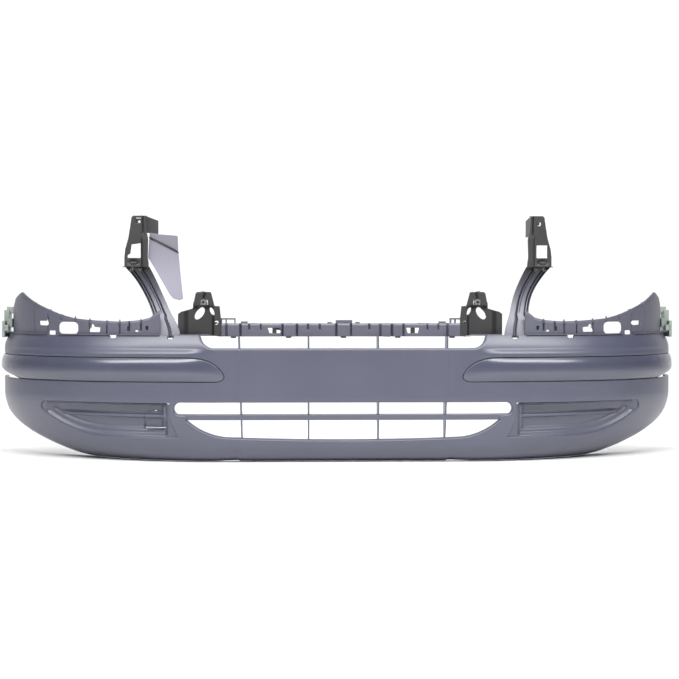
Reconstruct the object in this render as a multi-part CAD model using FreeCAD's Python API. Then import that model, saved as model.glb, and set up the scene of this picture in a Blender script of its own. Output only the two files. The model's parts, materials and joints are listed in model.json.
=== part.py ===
import FreeCAD, Part
import math
import os

Vec = FreeCAD.Vector

# Millimetres. Seen from the front, +X is to the right; +Y runs to the rear and +Z up.
# The origin is under the middle of the cover, level with the bottom of the chin.

# ---- overall size -----------------------------------------------------------------------
WIDTH = 1916.0            # over the rub strips, outside the wheel arches
DEPTH = 560.0             # front of the rub strips to the wheel-arch edge
SKIN_TOP = 332.0          # seam between the face and the headlight shelves
FLAT_HALF = 269.0         # half width of the flat number-plate panel
PLAN_POWER = 2.3          # roundness of the corners in plan
SKIN = 3.0                # moulded wall thickness
ACROSS = WIDTH / 1916.0   # positions across the cover follow the width

# ---- section of the face ------------------------------------------------------------------
CHIN_DEEP = 45.0          # chin radius, front to back
CHIN_TALL = 42.0          # chin radius, height
LEAN_TOP = 172.0          # the face leans back below this height
LEAN_FRONT = 30.0         # lean at the bottom of the middle
LEAN_SIDE = 110.0         # lean at the bottom of the corners
CORNER_RISE = 100.0       # how much the lower edge climbs towards the wheel arch
SHOULDER_LOW = 292.0      # the face rolls back above this height
SHOULDER_ROLL = 14.0
CHIN_SHARE = 0.2          # share of the section's parameter spent on the chin
ARCH_RADIUS = 420.0       # wheel-arch edge
ARCH_HEIGHT = 117.0       # height of the wheel-arch centre

# ---- openings in the face -----------------------------------------------------------------
NOTCH_LOW = 298.0         # opening between the plate panel and the top rail
NOTCH_HALF_TOP = 372.0 * ACROSS
NOTCH_HALF_LOW = 328.0 * ACROSS
BAR_LOW = 111.0           # crossbar between the two grille slots
BAR_TALL = 13.0
SLOT_TOP = 157.0          # upper grille slot
SLOT_HALF = 440.0 * ACROSS
MOUTH_LOW = 58.0          # lower grille slot
MOUTH_HALF = 408.0 * ACROSS
RECESS_TOP = 155.0        # fog-lamp recesses
RECESS_LOW = 65.0
RECESS_INNER = 452.0 * ACROSS
RECESS_OUTER = 800.0 * ACROSS
RECESS_BEND = 600.0 * ACROSS  # where the recess floor starts to climb
RECESS_CLIMB = 62.0
RECESS_SLANT = 22.0       # the recess floor starts this far inside its upper part
RECESS_FADE = 22.0        # how far the dished field takes to reach its depth

# ---- clearances ----------------------------------------------------------------------------
LAY = 0.3                 # between flat or parallel parts that lie on each other
FACE_GAP = 1.0            # between the face and a wall lapped behind it
SLIP = 0.4                # round a trim piece in its pocket
RUN = 0.05                # radial, round the hinge pin

# ---- rub strips ----------------------------------------------------------------------------
STRIP_LOW = 210.0
STRIP_HIGH = 273.0
STRIP_INNER = 310.0 * ACROSS
STRIP_END_AT = 0.943      # place of the strip's end along the plan
STRIP_PROUD = 8.0
STRIP_SINK = 3.0
TRAY_EDGE = 4.0           # moulded seat round the strip
CLIP_R = 4.0
CLIP_HEAD_R = 8.0
CLIP_GRIP = 3.0           # how far a clip reaches into the strip
STRIP_CLIPS = 5

# ---- fog-lamp blanks, crossbar and fins -----------------------------------------------------
INSERT_WALL = 2.5
INSERT_DEEP = 26.0
INSERT_BORDER = 12.0
RIDGE_OUT = 14.0
RIDGE_HALF = 6.0
SCREW_R = 2.5
SCREW_HEAD_R = 5.0
SCREW_HEAD = 3.0
SCREW_GRIP = 2.0
BAR_DEEP = 22.0
FIN_THICK = 4.0
FIN_PITCH = 181.0 * ACROSS
FIN_LEAN = 1.7            # degrees
FIN_NOTCH = 0.6           # above and below the crossbar
FIN_BACK = 72.0
FIN_LOW = 51.0

# ---- top structure ---------------------------------------------------------------------------
RAIL_HALF = 322.0 * ACROSS
RAIL_LOW = 329.0
RAIL_TALL = 35.0
RAIL_SET = 45.0           # behind the face
RAIL_DEEP = 32.0
WALL = 3.0
BLOCK_OUTER = 400.0 * ACROSS
BLOCK_TALL = 78.0
BLOCK_DEEP = 65.0
POST = 15.0
ARM_OUTER = 500.0 * ACROSS
ARM_TALL = 181.0          # above the rail's underside
ARM_SET = 100.0
ARM_STEP = 8.0            # arm's outer edge, inside the outer cheek
ARM_RIB = 15.0
ARM_TIP = 61.0            # width at the top
RIVET_INSETS = (16.0, 38.0)  # between the arm's ribs, from its outer edge
ARM_SPLAY = 72.0          # how far the tip stands outside the foot
ARM_SWAY = 10.0           # both arms stand this far towards -X above their feet
SWAY_TALL = 130.0
HOOK_TALL = 135.0         # dark bracket above the arm
HOOK_LAP = 14.0
NUT_SIDE = 13.0
NUT_THICK = 6.0
BOLT_R = 3.3              # M6 clearance
GRILLE_TIP = 115.0        # short bracket's top, above the rail's underside
GRILLE_NECK = 78.0        # height at which it starts to narrow
GRILLE_SWAY = 6.0
PANEL_LOW = 94.0          # intake panel, above the rail's underside
PANEL_HIGH = 263.0
PANEL_STEP = 44.0
PANEL_INNER = 420.0 * ACROSS

# ---- headlight shelves -------------------------------------------------------------------------
SHELF_SET = 26.0
SHELF_LOW = 35.0          # height of the low part of the wall above the seam
SHELF_TIP = 110.0         # height of the outer point above the seam
SHELF_TIP_AT = 0.79       # place of the outer point along the plan
SHELF_END_AT = 0.93
LIP_TALL = 25.0
# windows in the wall: distance from the middle, width, height above the seam, height
SHELF_WINDOWS = ((737.0, 54.0, 4.0, 26.0), (813.0, 28.0, 18.0, 20.0), (660.0, 27.0, 5.0, 20.0),
                 (566.0, 9.0, 11.0, 9.0), (517.0, 9.0, 11.0, 9.0))
SHELF_RIBS = (540.0, 590.0, 635.0, 690.0, 782.0, 840.0)
SEAM_CLIPS = (560.0, 700.0, 830.0)

# ---- tow-eye cap ---------------------------------------------------------------------------------
CAP_X = -RECESS_INNER - 39
CAP_HALF = 28.0
CAP_LOW = 91.0
CAP_TALL = 45.0
CAP_THICK = 2.6
COLLAR_WALL = 2.5
COLLAR_DEEP = 24.0
PIN_R = 1.5
KNUCKLE_R = 3.2

# ---- derived -------------------------------------------------------------------------------------
LAP = SKIN + FACE_GAP     # depth of a wall lapped behind the face
STRUCT_FRONT = -DEPTH / 2 + STRIP_PROUD
CORNER_HALF = WIDTH / 2 - STRIP_PROUD - FLAT_HALF
CORNER_DEPTH = DEPTH - STRIP_PROUD
FLAT_SHARE = FLAT_HALF / (FLAT_HALF + CORNER_HALF * math.pi / 2)


# ---- the face as a formula ---------------------------------------------------------------------
def smooth(value):
    """0 below 0, 1 above 1, smooth in between."""
    value = min(max(value, 0.0), 1.0)
    return value * value * (3 - 2 * value)


def plan(t, inset):
    """Point of the plan curve moved inwards; t runs from -1 at one wheel arch to 1 at the other."""
    side = -1.0 if t < 0 else 1.0
    share = abs(t)
    if share <= FLAT_SHARE:
        return side * FLAT_HALF * share / FLAT_SHARE, STRUCT_FRONT + inset
    turn = (share - FLAT_SHARE) / (1 - FLAT_SHARE) * math.pi / 2
    s = math.sin(turn)
    c = max(math.cos(turn), 0.0)
    r = (s ** PLAN_POWER + c ** PLAN_POWER) ** (-1 / PLAN_POWER)
    out_x = (r * s) ** (PLAN_POWER - 1) / CORNER_HALF
    out_y = (r * c) ** (PLAN_POWER - 1) / CORNER_DEPTH
    size = math.hypot(out_x, out_y)
    x = FLAT_HALF + CORNER_HALF * r * s - inset * out_x / size
    y = STRUCT_FRONT + CORNER_DEPTH * (1 - r * c) + inset * out_y / size
    return side * x, y


def lower_edge(t):
    return CORNER_RISE * smooth((abs(t) - 0.55) / 0.45)


def lean(t, z):
    reach = LEAN_FRONT + (LEAN_SIDE - LEAN_FRONT) * smooth((abs(t) - 0.25) / 0.45)
    low = reach * max(1 - z / LEAN_TOP, 0.0) ** 2
    high = SHOULDER_ROLL * max((z - SHOULDER_LOW) / (SKIN_TOP - SHOULDER_LOW), 0.0) ** 1.5
    return low + high


def section(t, v):
    """Inset and height on the outer surface; v runs from the lip's rear edge to the seam."""
    foot = lower_edge(t)
    if v < CHIN_SHARE:
        turn = math.pi / 2 * v / CHIN_SHARE
        z = foot + CHIN_TALL * (1 - math.cos(turn))
        return lean(t, z) + CHIN_DEEP * (1 - math.sin(turn)), z
    z = foot + CHIN_TALL + (SKIN_TOP - foot - CHIN_TALL) * (v - CHIN_SHARE) / (1 - CHIN_SHARE)
    return lean(t, z), z


def v_at(t, z):
    """Section parameter of a height above the chin radius."""
    foot = lower_edge(t) + CHIN_TALL
    return CHIN_SHARE + (1 - CHIN_SHARE) * (z - foot) / (SKIN_TOP - foot)


def t_at(x):
    """Plan parameter of a distance from the middle."""
    low = 0.0
    high = 1.0
    for _ in range(50):
        middle = (low + high) / 2
        if plan(middle, 0)[0] < abs(x):
            low = middle
        else:
            high = middle
    return math.copysign(low, x)


def inward(t, v):
    """Section normal that points into the cover, as inset and height."""
    step = 1e-3
    w0, z0 = section(t, max(v - step, 0.0))
    w1, z1 = section(t, min(v + step, 1.0))
    size = math.hypot(w1 - w0, z1 - z0)
    return (z1 - z0) / size, (w0 - w1) / size


def face_point(t, v, off):
    w, z = section(t, v)
    nw, nz = inward(t, v)
    x, y = plan(t, w + off * nw)
    return Vec(x, y, z + off * nz)


# ---- small building blocks ---------------------------------------------------------------------
def between(outer, inner):
    """Closed solid between two grids of points that face each other."""
    surfaces = []
    for grid in (outer, inner):
        surface = Part.BSplineSurface()
        surface.interpolate(grid)
        surfaces.append(surface)
    first, second = surfaces
    faces = [first.toShape(), second.toShape()]
    u0, u1, v0, v1 = first.bounds()
    p0, p1, q0, q1 = second.bounds()
    edges = [(first.uIso(u0), second.uIso(p0)), (first.uIso(u1), second.uIso(p1)),
             (first.vIso(v0), second.vIso(q0)), (first.vIso(v1), second.vIso(q1))]
    for one, other in edges:
        faces.append(Part.makeRuledSurface(one.toShape(), other.toShape()))
    shell = Part.makeShell(faces)
    shell.sewShape()
    solid = Part.makeSolid(shell)
    if solid.Volume < 0:
        solid.reverse()
    return solid


def steps(low, high, count):
    return [low + (high - low) * i / (count - 1) for i in range(count)]


def face_patch(t0, t1, z_low, z_high, off_out, off_in, columns, rows):
    """Solid that follows the face between two heights and two depths under the surface."""
    grids = []
    for off in (off_out, off_in):
        grid = []
        for t in steps(t0, t1, columns):
            v_low = v_at(t, z_low)
            v_high = v_at(t, z_high)
            grid.append([face_point(t, v, off(t, v) if callable(off) else off)
                         for v in steps(v_low, v_high, rows)])
        grids.append(grid)
    return between(*grids)


def wall_patch(t0, t1, z_low, z_high, inset_out, inset_in, columns, rows=3):
    """Upright wall that follows the plan; the heights may change along it."""
    grids = []
    for inset in (inset_out, inset_in):
        grid = []
        for t in steps(t0, t1, columns):
            low = z_low(t) if callable(z_low) else z_low
            high = z_high(t) if callable(z_high) else z_high
            x, y = plan(t, inset)
            grid.append([Vec(x, y, z) for z in steps(low, high, rows)])
        grids.append(grid)
    return between(*grids)


def box(x0, x1, y0, y1, z0, z1):
    return Part.makeBox(abs(x1 - x0), abs(y1 - y0), abs(z1 - z0),
                        Vec(min(x0, x1), min(y0, y1), min(z0, z1)))


def behind(depth):
    """Y of a plane a given depth behind the number-plate panel."""
    return STRUCT_FRONT + depth


def plate(points, depth, thick):
    """Flat plate across the vehicle from an outline of (x, z) points."""
    corners = [Vec(x, behind(depth), z) for x, z in points]
    face = Part.Face(Part.makePolygon(corners + corners[:1]))
    return face.extrude(Vec(0, thick, 0))


def cutter(edges):
    """Front-to-back prism through the face from edges drawn in the plane y = 0."""
    face = Part.Face(Part.Wire(Part.__sortEdges__(edges)))
    face.translate(Vec(0, -DEPTH, 0))
    return face.extrude(Vec(0, 2 * DEPTH, 0))


def line(a, b):
    return Part.LineSegment(Vec(a[0], 0, a[1]), Vec(b[0], 0, b[1])).toShape()


def arc(a, b, c):
    return Part.Arc(Vec(a[0], 0, a[1]), Vec(b[0], 0, b[1]), Vec(c[0], 0, c[1])).toShape()


def curve(points):
    spline = Part.BSplineCurve()
    spline.interpolate([Vec(x, 0, z) for x, z in points])
    return spline.toShape()


def peg(t, z, off_from, off_to, radius):
    """Round peg square to the face between two depths under the surface."""
    v = v_at(t, z)
    start = face_point(t, v, off_from)
    way = face_point(t, v, off_to) - start
    return Part.makeCylinder(radius, way.Length, start, way)


def mirrored(shape):
    return shape.mirror(Vec(0, 0, 0), Vec(1, 0, 0))


def cleaned(shape):
    """The single solid of a boolean result."""
    solids = sorted(shape.Solids, key=lambda solid: -solid.Volume)
    return solids[0]


# ---- the face -------------------------------------------------------------------------------------
def recess_floor(x):
    """Height of the fog-lamp recess's lower edge at a distance from the middle."""
    climb = max((abs(x) - RECESS_BEND) / (RECESS_OUTER - RECESS_BEND), 0.0)
    return RECESS_LOW + RECESS_CLIMB * climb ** 2.5


def recess_outline():
    inner = RECESS_INNER
    outer = RECESS_OUTER
    round_end = RECESS_TOP - recess_floor(outer)
    floor = [(x, recess_floor(x)) for x in steps(inner - RECESS_SLANT, outer, 9)]
    return [line((inner - RECESS_SLANT, RECESS_LOW), (inner, BAR_LOW)),
            line((inner, BAR_LOW), (inner, RECESS_TOP)),
            line((inner, RECESS_TOP), (outer - 6, RECESS_TOP)),
            arc((outer - 6, RECESS_TOP), (outer + 5, RECESS_TOP - round_end / 2), floor[-1]),
            curve(floor)]


def notch_cutter():
    top = SKIN_TOP + 50
    a = (NOTCH_HALF_LOW, NOTCH_LOW)
    b = (NOTCH_HALF_TOP, SKIN_TOP)
    bend = (NOTCH_HALF_TOP - 10, NOTCH_LOW + 13)
    left = [(-x, z) for x, z in (a, bend, b)]
    return cutter([line(a, left[0]), arc(*left), line(left[2], (-b[0], top)),
                   line((-b[0], top), (b[0], top)), line((b[0], top), b), arc(b, bend, a)])


def slot_cutter():
    low = BAR_LOW + BAR_TALL
    mid = (SLOT_TOP + low) / 2
    r = (SLOT_TOP - low) / 2
    flat = SLOT_HALF - r
    return cutter([line((-flat, low), (flat, low)), arc((flat, low), (SLOT_HALF, mid), (flat, SLOT_TOP)),
                   line((flat, SLOT_TOP), (-flat, SLOT_TOP)),
                   arc((-flat, SLOT_TOP), (-SLOT_HALF, mid), (-flat, low))])


def mouth_cutter():
    low = (MOUTH_HALF - 108, MOUTH_LOW + 6)
    bend = (MOUTH_HALF - 40, MOUTH_LOW + 25)
    tip = (MOUTH_HALF, BAR_LOW)
    flip = [(-x, z) for x, z in (low, bend, tip)]
    return cutter([line(flip[2], tip), arc(tip, bend, low),
                   arc(low, (0, MOUTH_LOW), flip[0]), arc(*flip)])


def strip_ends():
    return t_at(STRIP_INNER), STRIP_END_AT


def strip_clip_places():
    inner, outer = strip_ends()
    return steps(inner + 0.04, outer - 0.04, STRIP_CLIPS)


def moved_out(points, distance):
    """Points of an open outline moved to their left by a distance."""
    moved = []
    last = len(points) - 1
    for i, (x, z) in enumerate(points):
        before = points[max(i - 1, 0)]
        after = points[min(i + 1, last)]
        along_x = after[0] - before[0]
        along_z = after[1] - before[1]
        size = math.hypot(along_x, along_z)
        moved.append((x + distance * along_z / size, z - distance * along_x / size))
    return moved


def strip_outline(grow):
    """Prism of the strip's front view; its inner end is a blunt, drooping nose."""
    low = STRIP_LOW
    tall = STRIP_HIGH - STRIP_LOW
    nose = [(STRIP_INNER + reach, low + rise * tall)
            for reach, rise in ((112, 1.0), (84, 1.0), (52, 0.93), (18, 0.62), (0, 0.26), (6, 0.06), (20, 0.0),
                                (34, 0.0))]
    nose = moved_out(nose, grow)
    top = (WIDTH, nose[0][1])
    foot = (WIDTH, nose[-1][1])
    return cutter([curve(nose), line(nose[-1], foot), line(foot, top), line(top, nose[0])])


def strip_patch(grow, off_out, off_in, columns=60, rows=9):
    """Layer of the strip's area: between two depths, inside the outline grown or shrunk."""
    inner, outer = strip_ends()
    side = grow / (FLAT_HALF / FLAT_SHARE)
    layer = face_patch(inner - 0.01, outer + side, STRIP_LOW - 12, STRIP_HIGH + 12,
                       off_out, off_in, columns, rows)
    return cleaned(layer.common(strip_outline(grow)))


def insert_screw_places():
    xs = steps(RECESS_INNER + 60, RECESS_OUTER - 60, 3)
    return [(t_at(x), RECESS_TOP + INSERT_BORDER / 2) for x in xs]


def seam_clip_places():
    return [(t_at(x * ACROSS), SKIN_TOP - LIP_TALL / 2) for x in SEAM_CLIPS]


def bumper_skin():
    columns = 141
    rows = 40
    grids = [[[face_point(t, v, off) for v in steps(0, 1, rows)] for t in steps(-1, 1, columns)]
             for off in (0.0, SKIN)]
    skin = between(*grids)
    recess = cutter(recess_outline())
    tools = [notch_cutter(), slot_cutter(), mouth_cutter(), recess, mirrored(recess)]
    for tool in tools:
        skin = skin.cut(tool)
    tray = strip_patch(TRAY_EDGE, SKIN / 2, STRIP_SINK + SKIN)
    pocket = strip_patch(0.0, -SKIN, STRIP_SINK)
    holes = [peg(t, (STRIP_LOW + STRIP_HIGH) / 2, 0, STRIP_SINK + SKIN + 2, CLIP_R)
             for t in strip_clip_places()]
    holes += [peg(t, z, SKIN - SCREW_GRIP, SKIN + 1, SCREW_R)
              for t, z in insert_screw_places() + seam_clip_places()]
    for flip in (False, True):
        skin = skin.fuse(mirrored(tray) if flip else tray)
        skin = skin.cut(mirrored(pocket) if flip else pocket)
        skin = skin.cut([mirrored(hole) if flip else hole for hole in holes])
    rise = SKIN_TOP - ARCH_HEIGHT
    centre_y = behind(CORNER_DEPTH) + math.sqrt(ARCH_RADIUS ** 2 - rise ** 2)
    arch = Part.makeCylinder(ARCH_RADIUS, 2 * WIDTH, Vec(-WIDTH, centre_y, ARCH_HEIGHT), Vec(1, 0, 0))
    return cleaned(skin.cut(arch))


def strip_bulge(t, v):
    """Depth of the strip's outer surface: convex across, fading to its edges and nose."""
    inner, outer = strip_ends()
    z = section(t, v)[1]
    across = (z - STRIP_LOW) / (STRIP_HIGH - STRIP_LOW)
    edge = max(1 - (2 * across - 1) ** 4, 0.0)
    along = smooth((t - inner) / 0.07) * smooth((outer - t) / 0.03)
    return -STRIP_PROUD * edge * (0.3 + 0.7 * along)


def rub_strip():
    strip = strip_patch(-SLIP, strip_bulge, STRIP_SINK - LAY, 60, 19)
    middle = (STRIP_LOW + STRIP_HIGH) / 2
    for t in strip_clip_places():
        strip = strip.cut(peg(t, middle, STRIP_SINK - LAY - CLIP_GRIP, STRIP_SINK + 1, CLIP_R))
    return cleaned(strip)


def strip_clips():
    middle = (STRIP_LOW + STRIP_HIGH) / 2
    back = STRIP_SINK + SKIN
    clips = []
    for t in strip_clip_places():
        shank = peg(t, middle, STRIP_SINK - LAY - CLIP_GRIP, back + LAY, CLIP_R)
        head = peg(t, middle, back + LAY, back + LAY + SCREW_HEAD, CLIP_HEAD_R)
        clips.append(shank.fuse(head))
    return clips


def screws(places, wall):
    """Screws driven from behind through a lapped wall into the face."""
    made = []
    for t, z in places:
        head_at = LAP + wall + LAY
        shank = peg(t, z, SKIN - SCREW_GRIP, head_at, SCREW_R)
        head = peg(t, z, head_at, head_at + SCREW_HEAD, SCREW_HEAD_R)
        made.append(shank.fuse(head))
    return made


# ---- fog-lamp blanks -----------------------------------------------------------------------------
def insert_depth(t, v):
    """Depth of the blank's outer surface: lapped rim, dished field, ridge across it."""
    w, z = section(t, v)
    x = abs(plan(t, w)[0])
    inside = smooth((x - RECESS_INNER - 2) / RECESS_FADE) * smooth((RECESS_OUTER - x) / RECESS_FADE)
    inside *= smooth((RECESS_TOP - z) / 12) * smooth((z - recess_floor(x)) / 18)
    ridge = math.exp(-((z - BAR_LOW - BAR_TALL / 2) / RIDGE_HALF) ** 4)
    return LAP + inside * (INSERT_DEEP - RIDGE_OUT * ridge)


def insert_back(t, v):
    return insert_depth(t, v) + INSERT_WALL


def lower_insert(side):
    t0 = t_at(RECESS_INNER - 30)
    t1 = t_at(RECESS_OUTER + 20)
    panel = face_patch(t0, t1, RECESS_LOW - INSERT_BORDER + 4, RECESS_TOP + INSERT_BORDER,
                       insert_depth, insert_back, 70, 34)
    panel = panel.cut(box(0, RECESS_INNER - 6, -DEPTH, DEPTH, 0, SKIN_TOP))
    panel = panel.cut([peg(t, z, SKIN, LAP + INSERT_WALL + 1, SCREW_R)
                       for t, z in insert_screw_places()])
    panel = cleaned(panel)
    if side < 0:
        panel = mirrored(panel)
        panel = panel.cut(in_place(cap_outline_solid(COLLAR_WALL, -COLLAR_DEEP, 30)))
        panel = cleaned(panel).fuse(collar())
    return cleaned(panel)


# ---- tow-eye cap, in a frame whose x runs along the hinge and whose y points inwards --------------
def cap_frame():
    t = t_at(CAP_X)
    z = CAP_LOW + CAP_TALL / 2
    v = v_at(t, z)
    depth = LAP + INSERT_DEEP - RIDGE_OUT
    here = face_point(t, v, depth)
    x0, y0 = plan(t - 1e-3, 0)
    x1, y1 = plan(t + 1e-3, 0)
    angle = math.degrees(math.atan2(y1 - y0, x1 - x0))
    spin = FreeCAD.Rotation(Vec(0, 0, 1), angle)
    return FreeCAD.Placement(Vec(here.x, here.y, CAP_LOW), spin)


def in_place(shape):
    moved = shape.copy()
    moved.Placement = cap_frame().multiply(shape.Placement)
    return moved


def cap_outline_solid(grow, y0, y1):
    """Arch-topped prism of the cap's outline, from y0 to y1."""
    half = CAP_HALF + grow
    spring = CAP_TALL - CAP_HALF * 0.55
    top = CAP_TALL + grow
    low = -KNUCKLE_R - SLIP - grow if grow > SLIP else 0.0
    edges = [line((-half, low), (half, low)), line((half, low), (half, spring)),
             arc((half, spring), (0, top), (-half, spring)), line((-half, spring), (-half, low))]
    face = Part.Face(Part.Wire(Part.__sortEdges__(edges)))
    face.translate(Vec(0, y0, 0))
    return face.extrude(Vec(0, y1 - y0, 0))


def hinge_cylinder(x0, x1, radius):
    return Part.makeCylinder(radius, x1 - x0, Vec(x0, CAP_THICK / 2, 0), Vec(1, 0, 0))


def collar():
    """Ring moulded round the tow-eye hole; two ears carry the hinge pin."""
    ring = cap_outline_solid(COLLAR_WALL + SLIP, -2.0, COLLAR_DEEP)
    ring = ring.cut(cap_outline_solid(SLIP, -3.0, COLLAR_DEEP + 1))
    low = -KNUCKLE_R - SLIP
    ring = ring.cut(box(-CAP_HALF - SLIP, CAP_HALF + SLIP, -3, COLLAR_DEEP + 1, low, 1))
    stop = cap_outline_solid(SLIP + 0.1, CAP_THICK + LAY, CAP_THICK + LAY + 2)
    stop = stop.cut(cap_outline_solid(-4, CAP_THICK, CAP_THICK + LAY + 3))
    stop = stop.cut(box(-CAP_HALF, CAP_HALF, 0, 10, -5, 8))
    ring = ring.fuse(stop)
    for side in (-1, 1):
        outer = side * (CAP_HALF + SLIP + 0.1)
        inner = side * (CAP_HALF - 6)
        ear = box(inner, outer, -0.5, CAP_THICK + 3, low - 0.1, -SLIP)
        ring = ring.fuse(ear)
    ring = ring.cut(hinge_cylinder(-CAP_HALF - 1, CAP_HALF + 1, PIN_R))
    return in_place(cleaned(ring))


def tow_eye_cap():
    cap = cap_outline_solid(0.0, 0, CAP_THICK)
    rib_low = BAR_LOW - CAP_LOW
    rib = box(-CAP_HALF, CAP_HALF, -1.6, 0.5, rib_low, rib_low + BAR_TALL * 0.6)
    cap = cap.fuse(rib)
    knuckle = hinge_cylinder(-CAP_HALF + 7, CAP_HALF - 7, KNUCKLE_R)
    cap = cap.cut(box(-CAP_HALF - 1, -CAP_HALF + 6.5, -1, 5, -1, KNUCKLE_R))
    cap = cap.cut(box(CAP_HALF - 6.5, CAP_HALF + 1, -1, 5, -1, KNUCKLE_R))
    cap = cap.fuse(knuckle)
    cap = cap.cut(hinge_cylinder(-CAP_HALF, CAP_HALF, PIN_R + RUN))
    notch = Part.makeCylinder(3, 3, Vec(0, -1, CAP_TALL + 1), Vec(0, 1, 0))
    return in_place(cleaned(cap.cut(notch)))


def tow_cap_pin():
    return in_place(hinge_cylinder(-CAP_HALF + 0.5, CAP_HALF - 0.5, PIN_R))


# ---- crossbar and fins ------------------------------------------------------------------------------
def grille_crossbar():
    reach = t_at(RECESS_INNER - 6.5)
    bar = face_patch(-reach, reach, BAR_LOW, BAR_LOW + BAR_TALL, SKIN + LAY, SKIN + LAY + BAR_DEEP, 61, 4)
    return bar


def fin_places():
    return [FIN_PITCH * (i - 1.5) for i in range(4)]


def grille_fin(x):
    """Upright blade behind the face; the outer two lean inwards at the bottom."""
    t = t_at(x)
    set_back = plan(t, 0)[1] - STRUCT_FRONT + SKIN + LAY
    edge = [(lean(t, z) + set_back, z) for z in steps(FIN_LOW, NOTCH_LOW - 6, 7)]
    outline = edge + [(14, NOTCH_LOW), (20, RAIL_LOW + 5), (FIN_BACK, RAIL_LOW + 5),
                      (FIN_BACK, NOTCH_LOW - 100), (FIN_BACK - 26, FIN_LOW)]
    corners = [Vec(x - FIN_THICK / 2, behind(y), z) for y, z in outline]
    fin = Part.Face(Part.makePolygon(corners + corners[:1])).extrude(Vec(FIN_THICK, 0, 0))
    if abs(x) > FIN_PITCH:
        fin.rotate(Vec(x, 0, RAIL_LOW), Vec(0, 1, 0), math.copysign(FIN_LEAN, x))
    fin = fin.cut(box(x - 30, x + 30, -DEPTH, DEPTH, RAIL_LOW, RAIL_LOW + 20))
    bar_back = set_back + lean(t, BAR_LOW) + BAR_DEEP + 1
    bar_top = face_point(t, v_at(t, BAR_LOW + BAR_TALL), SKIN + LAY + BAR_DEEP).z
    notch = box(x - 30, x + 30, behind(-20), behind(bar_back),
                BAR_LOW - FIN_NOTCH, bar_top + FIN_NOTCH)
    return cleaned(fin.cut(notch))


# ---- top structure -------------------------------------------------------------------------------------
def centre_rail():
    low = RAIL_LOW
    high = RAIL_LOW + RAIL_TALL
    front = behind(RAIL_SET)
    back = behind(RAIL_SET + RAIL_DEEP)
    rail = box(-RAIL_HALF, RAIL_HALF, front, back, low, high)
    rail = rail.cut(box(-RAIL_HALF + WALL, RAIL_HALF - WALL, front + WALL, back + 1, low + WALL, high - WALL))
    ribs = 12
    for i in range(1, ribs):
        x = -RAIL_HALF + 2 * RAIL_HALF * i / ribs
        rail = rail.fuse(box(x - 1.2, x + 1.2, front + WALL / 2, back, low + WALL / 2, high - WALL / 2))
    for side in (-1, 1):
        x = side * FIN_PITCH
        rail = rail.cut(box(x - 18, x + 18, front - 1, front + WALL + 1, low + 8, low + 20))
        end = side * (RAIL_HALF - 24)
        rail = rail.fuse(box(end - 22, end + 22, front, front + WALL, high - 1, high + 13))
    return cleaned(rail)


def shoulder_block():
    low = RAIL_LOW
    high = RAIL_LOW + BLOCK_TALL
    front = behind(RAIL_SET)
    back = behind(RAIL_SET + BLOCK_DEEP)
    block = box(RAIL_HALF, BLOCK_OUTER, front, back, low, high)
    return block.cut(box(RAIL_HALF + POST, BLOCK_OUTER - WALL, front - 1, back - WALL, low + WALL, high - WALL))


def grille_bracket_middle():
    return (RAIL_HALF + POST + BLOCK_OUTER) / 2 - 8


def grille_nut_place(side):
    middle = side * (grille_bracket_middle() - 2) - GRILLE_SWAY
    return middle, RAIL_LOW + GRILLE_NECK + NUT_SIDE - 3


def grille_bracket(side):
    """Short dark bracket on the front of the shoulder block, with two slanted windows."""
    low = RAIL_LOW
    middle = grille_bracket_middle()
    outline = [(middle - 26, low + 40), (middle + 28, low + 40), (middle + 28, low + GRILLE_NECK),
               (middle + 19, low + GRILLE_TIP), (middle - 19, low + GRILLE_TIP), (middle - 26, low + GRILLE_NECK)]
    bracket = plate([(side * x - GRILLE_SWAY, z) for x, z in outline], RAIL_SET - WALL, WALL)
    y = behind(RAIL_SET - WALL - 1)
    hole = NUT_SIDE / 2
    x, z = grille_nut_place(side)
    bracket = bracket.cut(box(x - hole, x + hole, y, y + 10, z - hole, z + hole))
    for offset, wide in ((14, 20), (-15, 12)):
        window = Part.makeCylinder(1, 10, Vec(0, 0, 0), Vec(0, 1, 0))
        stretch = FreeCAD.Matrix()
        stretch.scale(wide / 2, 1, 14)
        window = window.transformGeometry(stretch)
        window.rotate(Vec(0, 0, 0), Vec(0, 1, 0), -18 * side)
        window.translate(Vec(side * (middle + offset) - GRILLE_SWAY, y, low + 56))
        bracket = bracket.cut(window)
    return cleaned(bracket)


def sway(z):
    """How far the arm stands towards -X at a height."""
    return ARM_SWAY * smooth((z - RAIL_LOW) / SWAY_TALL)


def arm_line(share, side):
    """Points up the arm at a share of its width, 0 at the outer edge and 1 at the inner one."""
    points = []
    outer = ARM_OUTER - WALL - ARM_STEP
    for rise in steps(0, 1, 9):
        z = RAIL_LOW + ARM_TALL * rise
        outer_x = outer + ARM_SPLAY * rise ** 2.4
        foot_x = BLOCK_OUTER + 38 * smooth(rise / 0.4)
        inner_x = foot_x + (outer + ARM_SPLAY - ARM_TIP - BLOCK_OUTER - 38) * rise ** 1.6
        x = outer_x + (inner_x - outer_x) * share
        points.append((side * x - sway(z), z))
    return points


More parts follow.
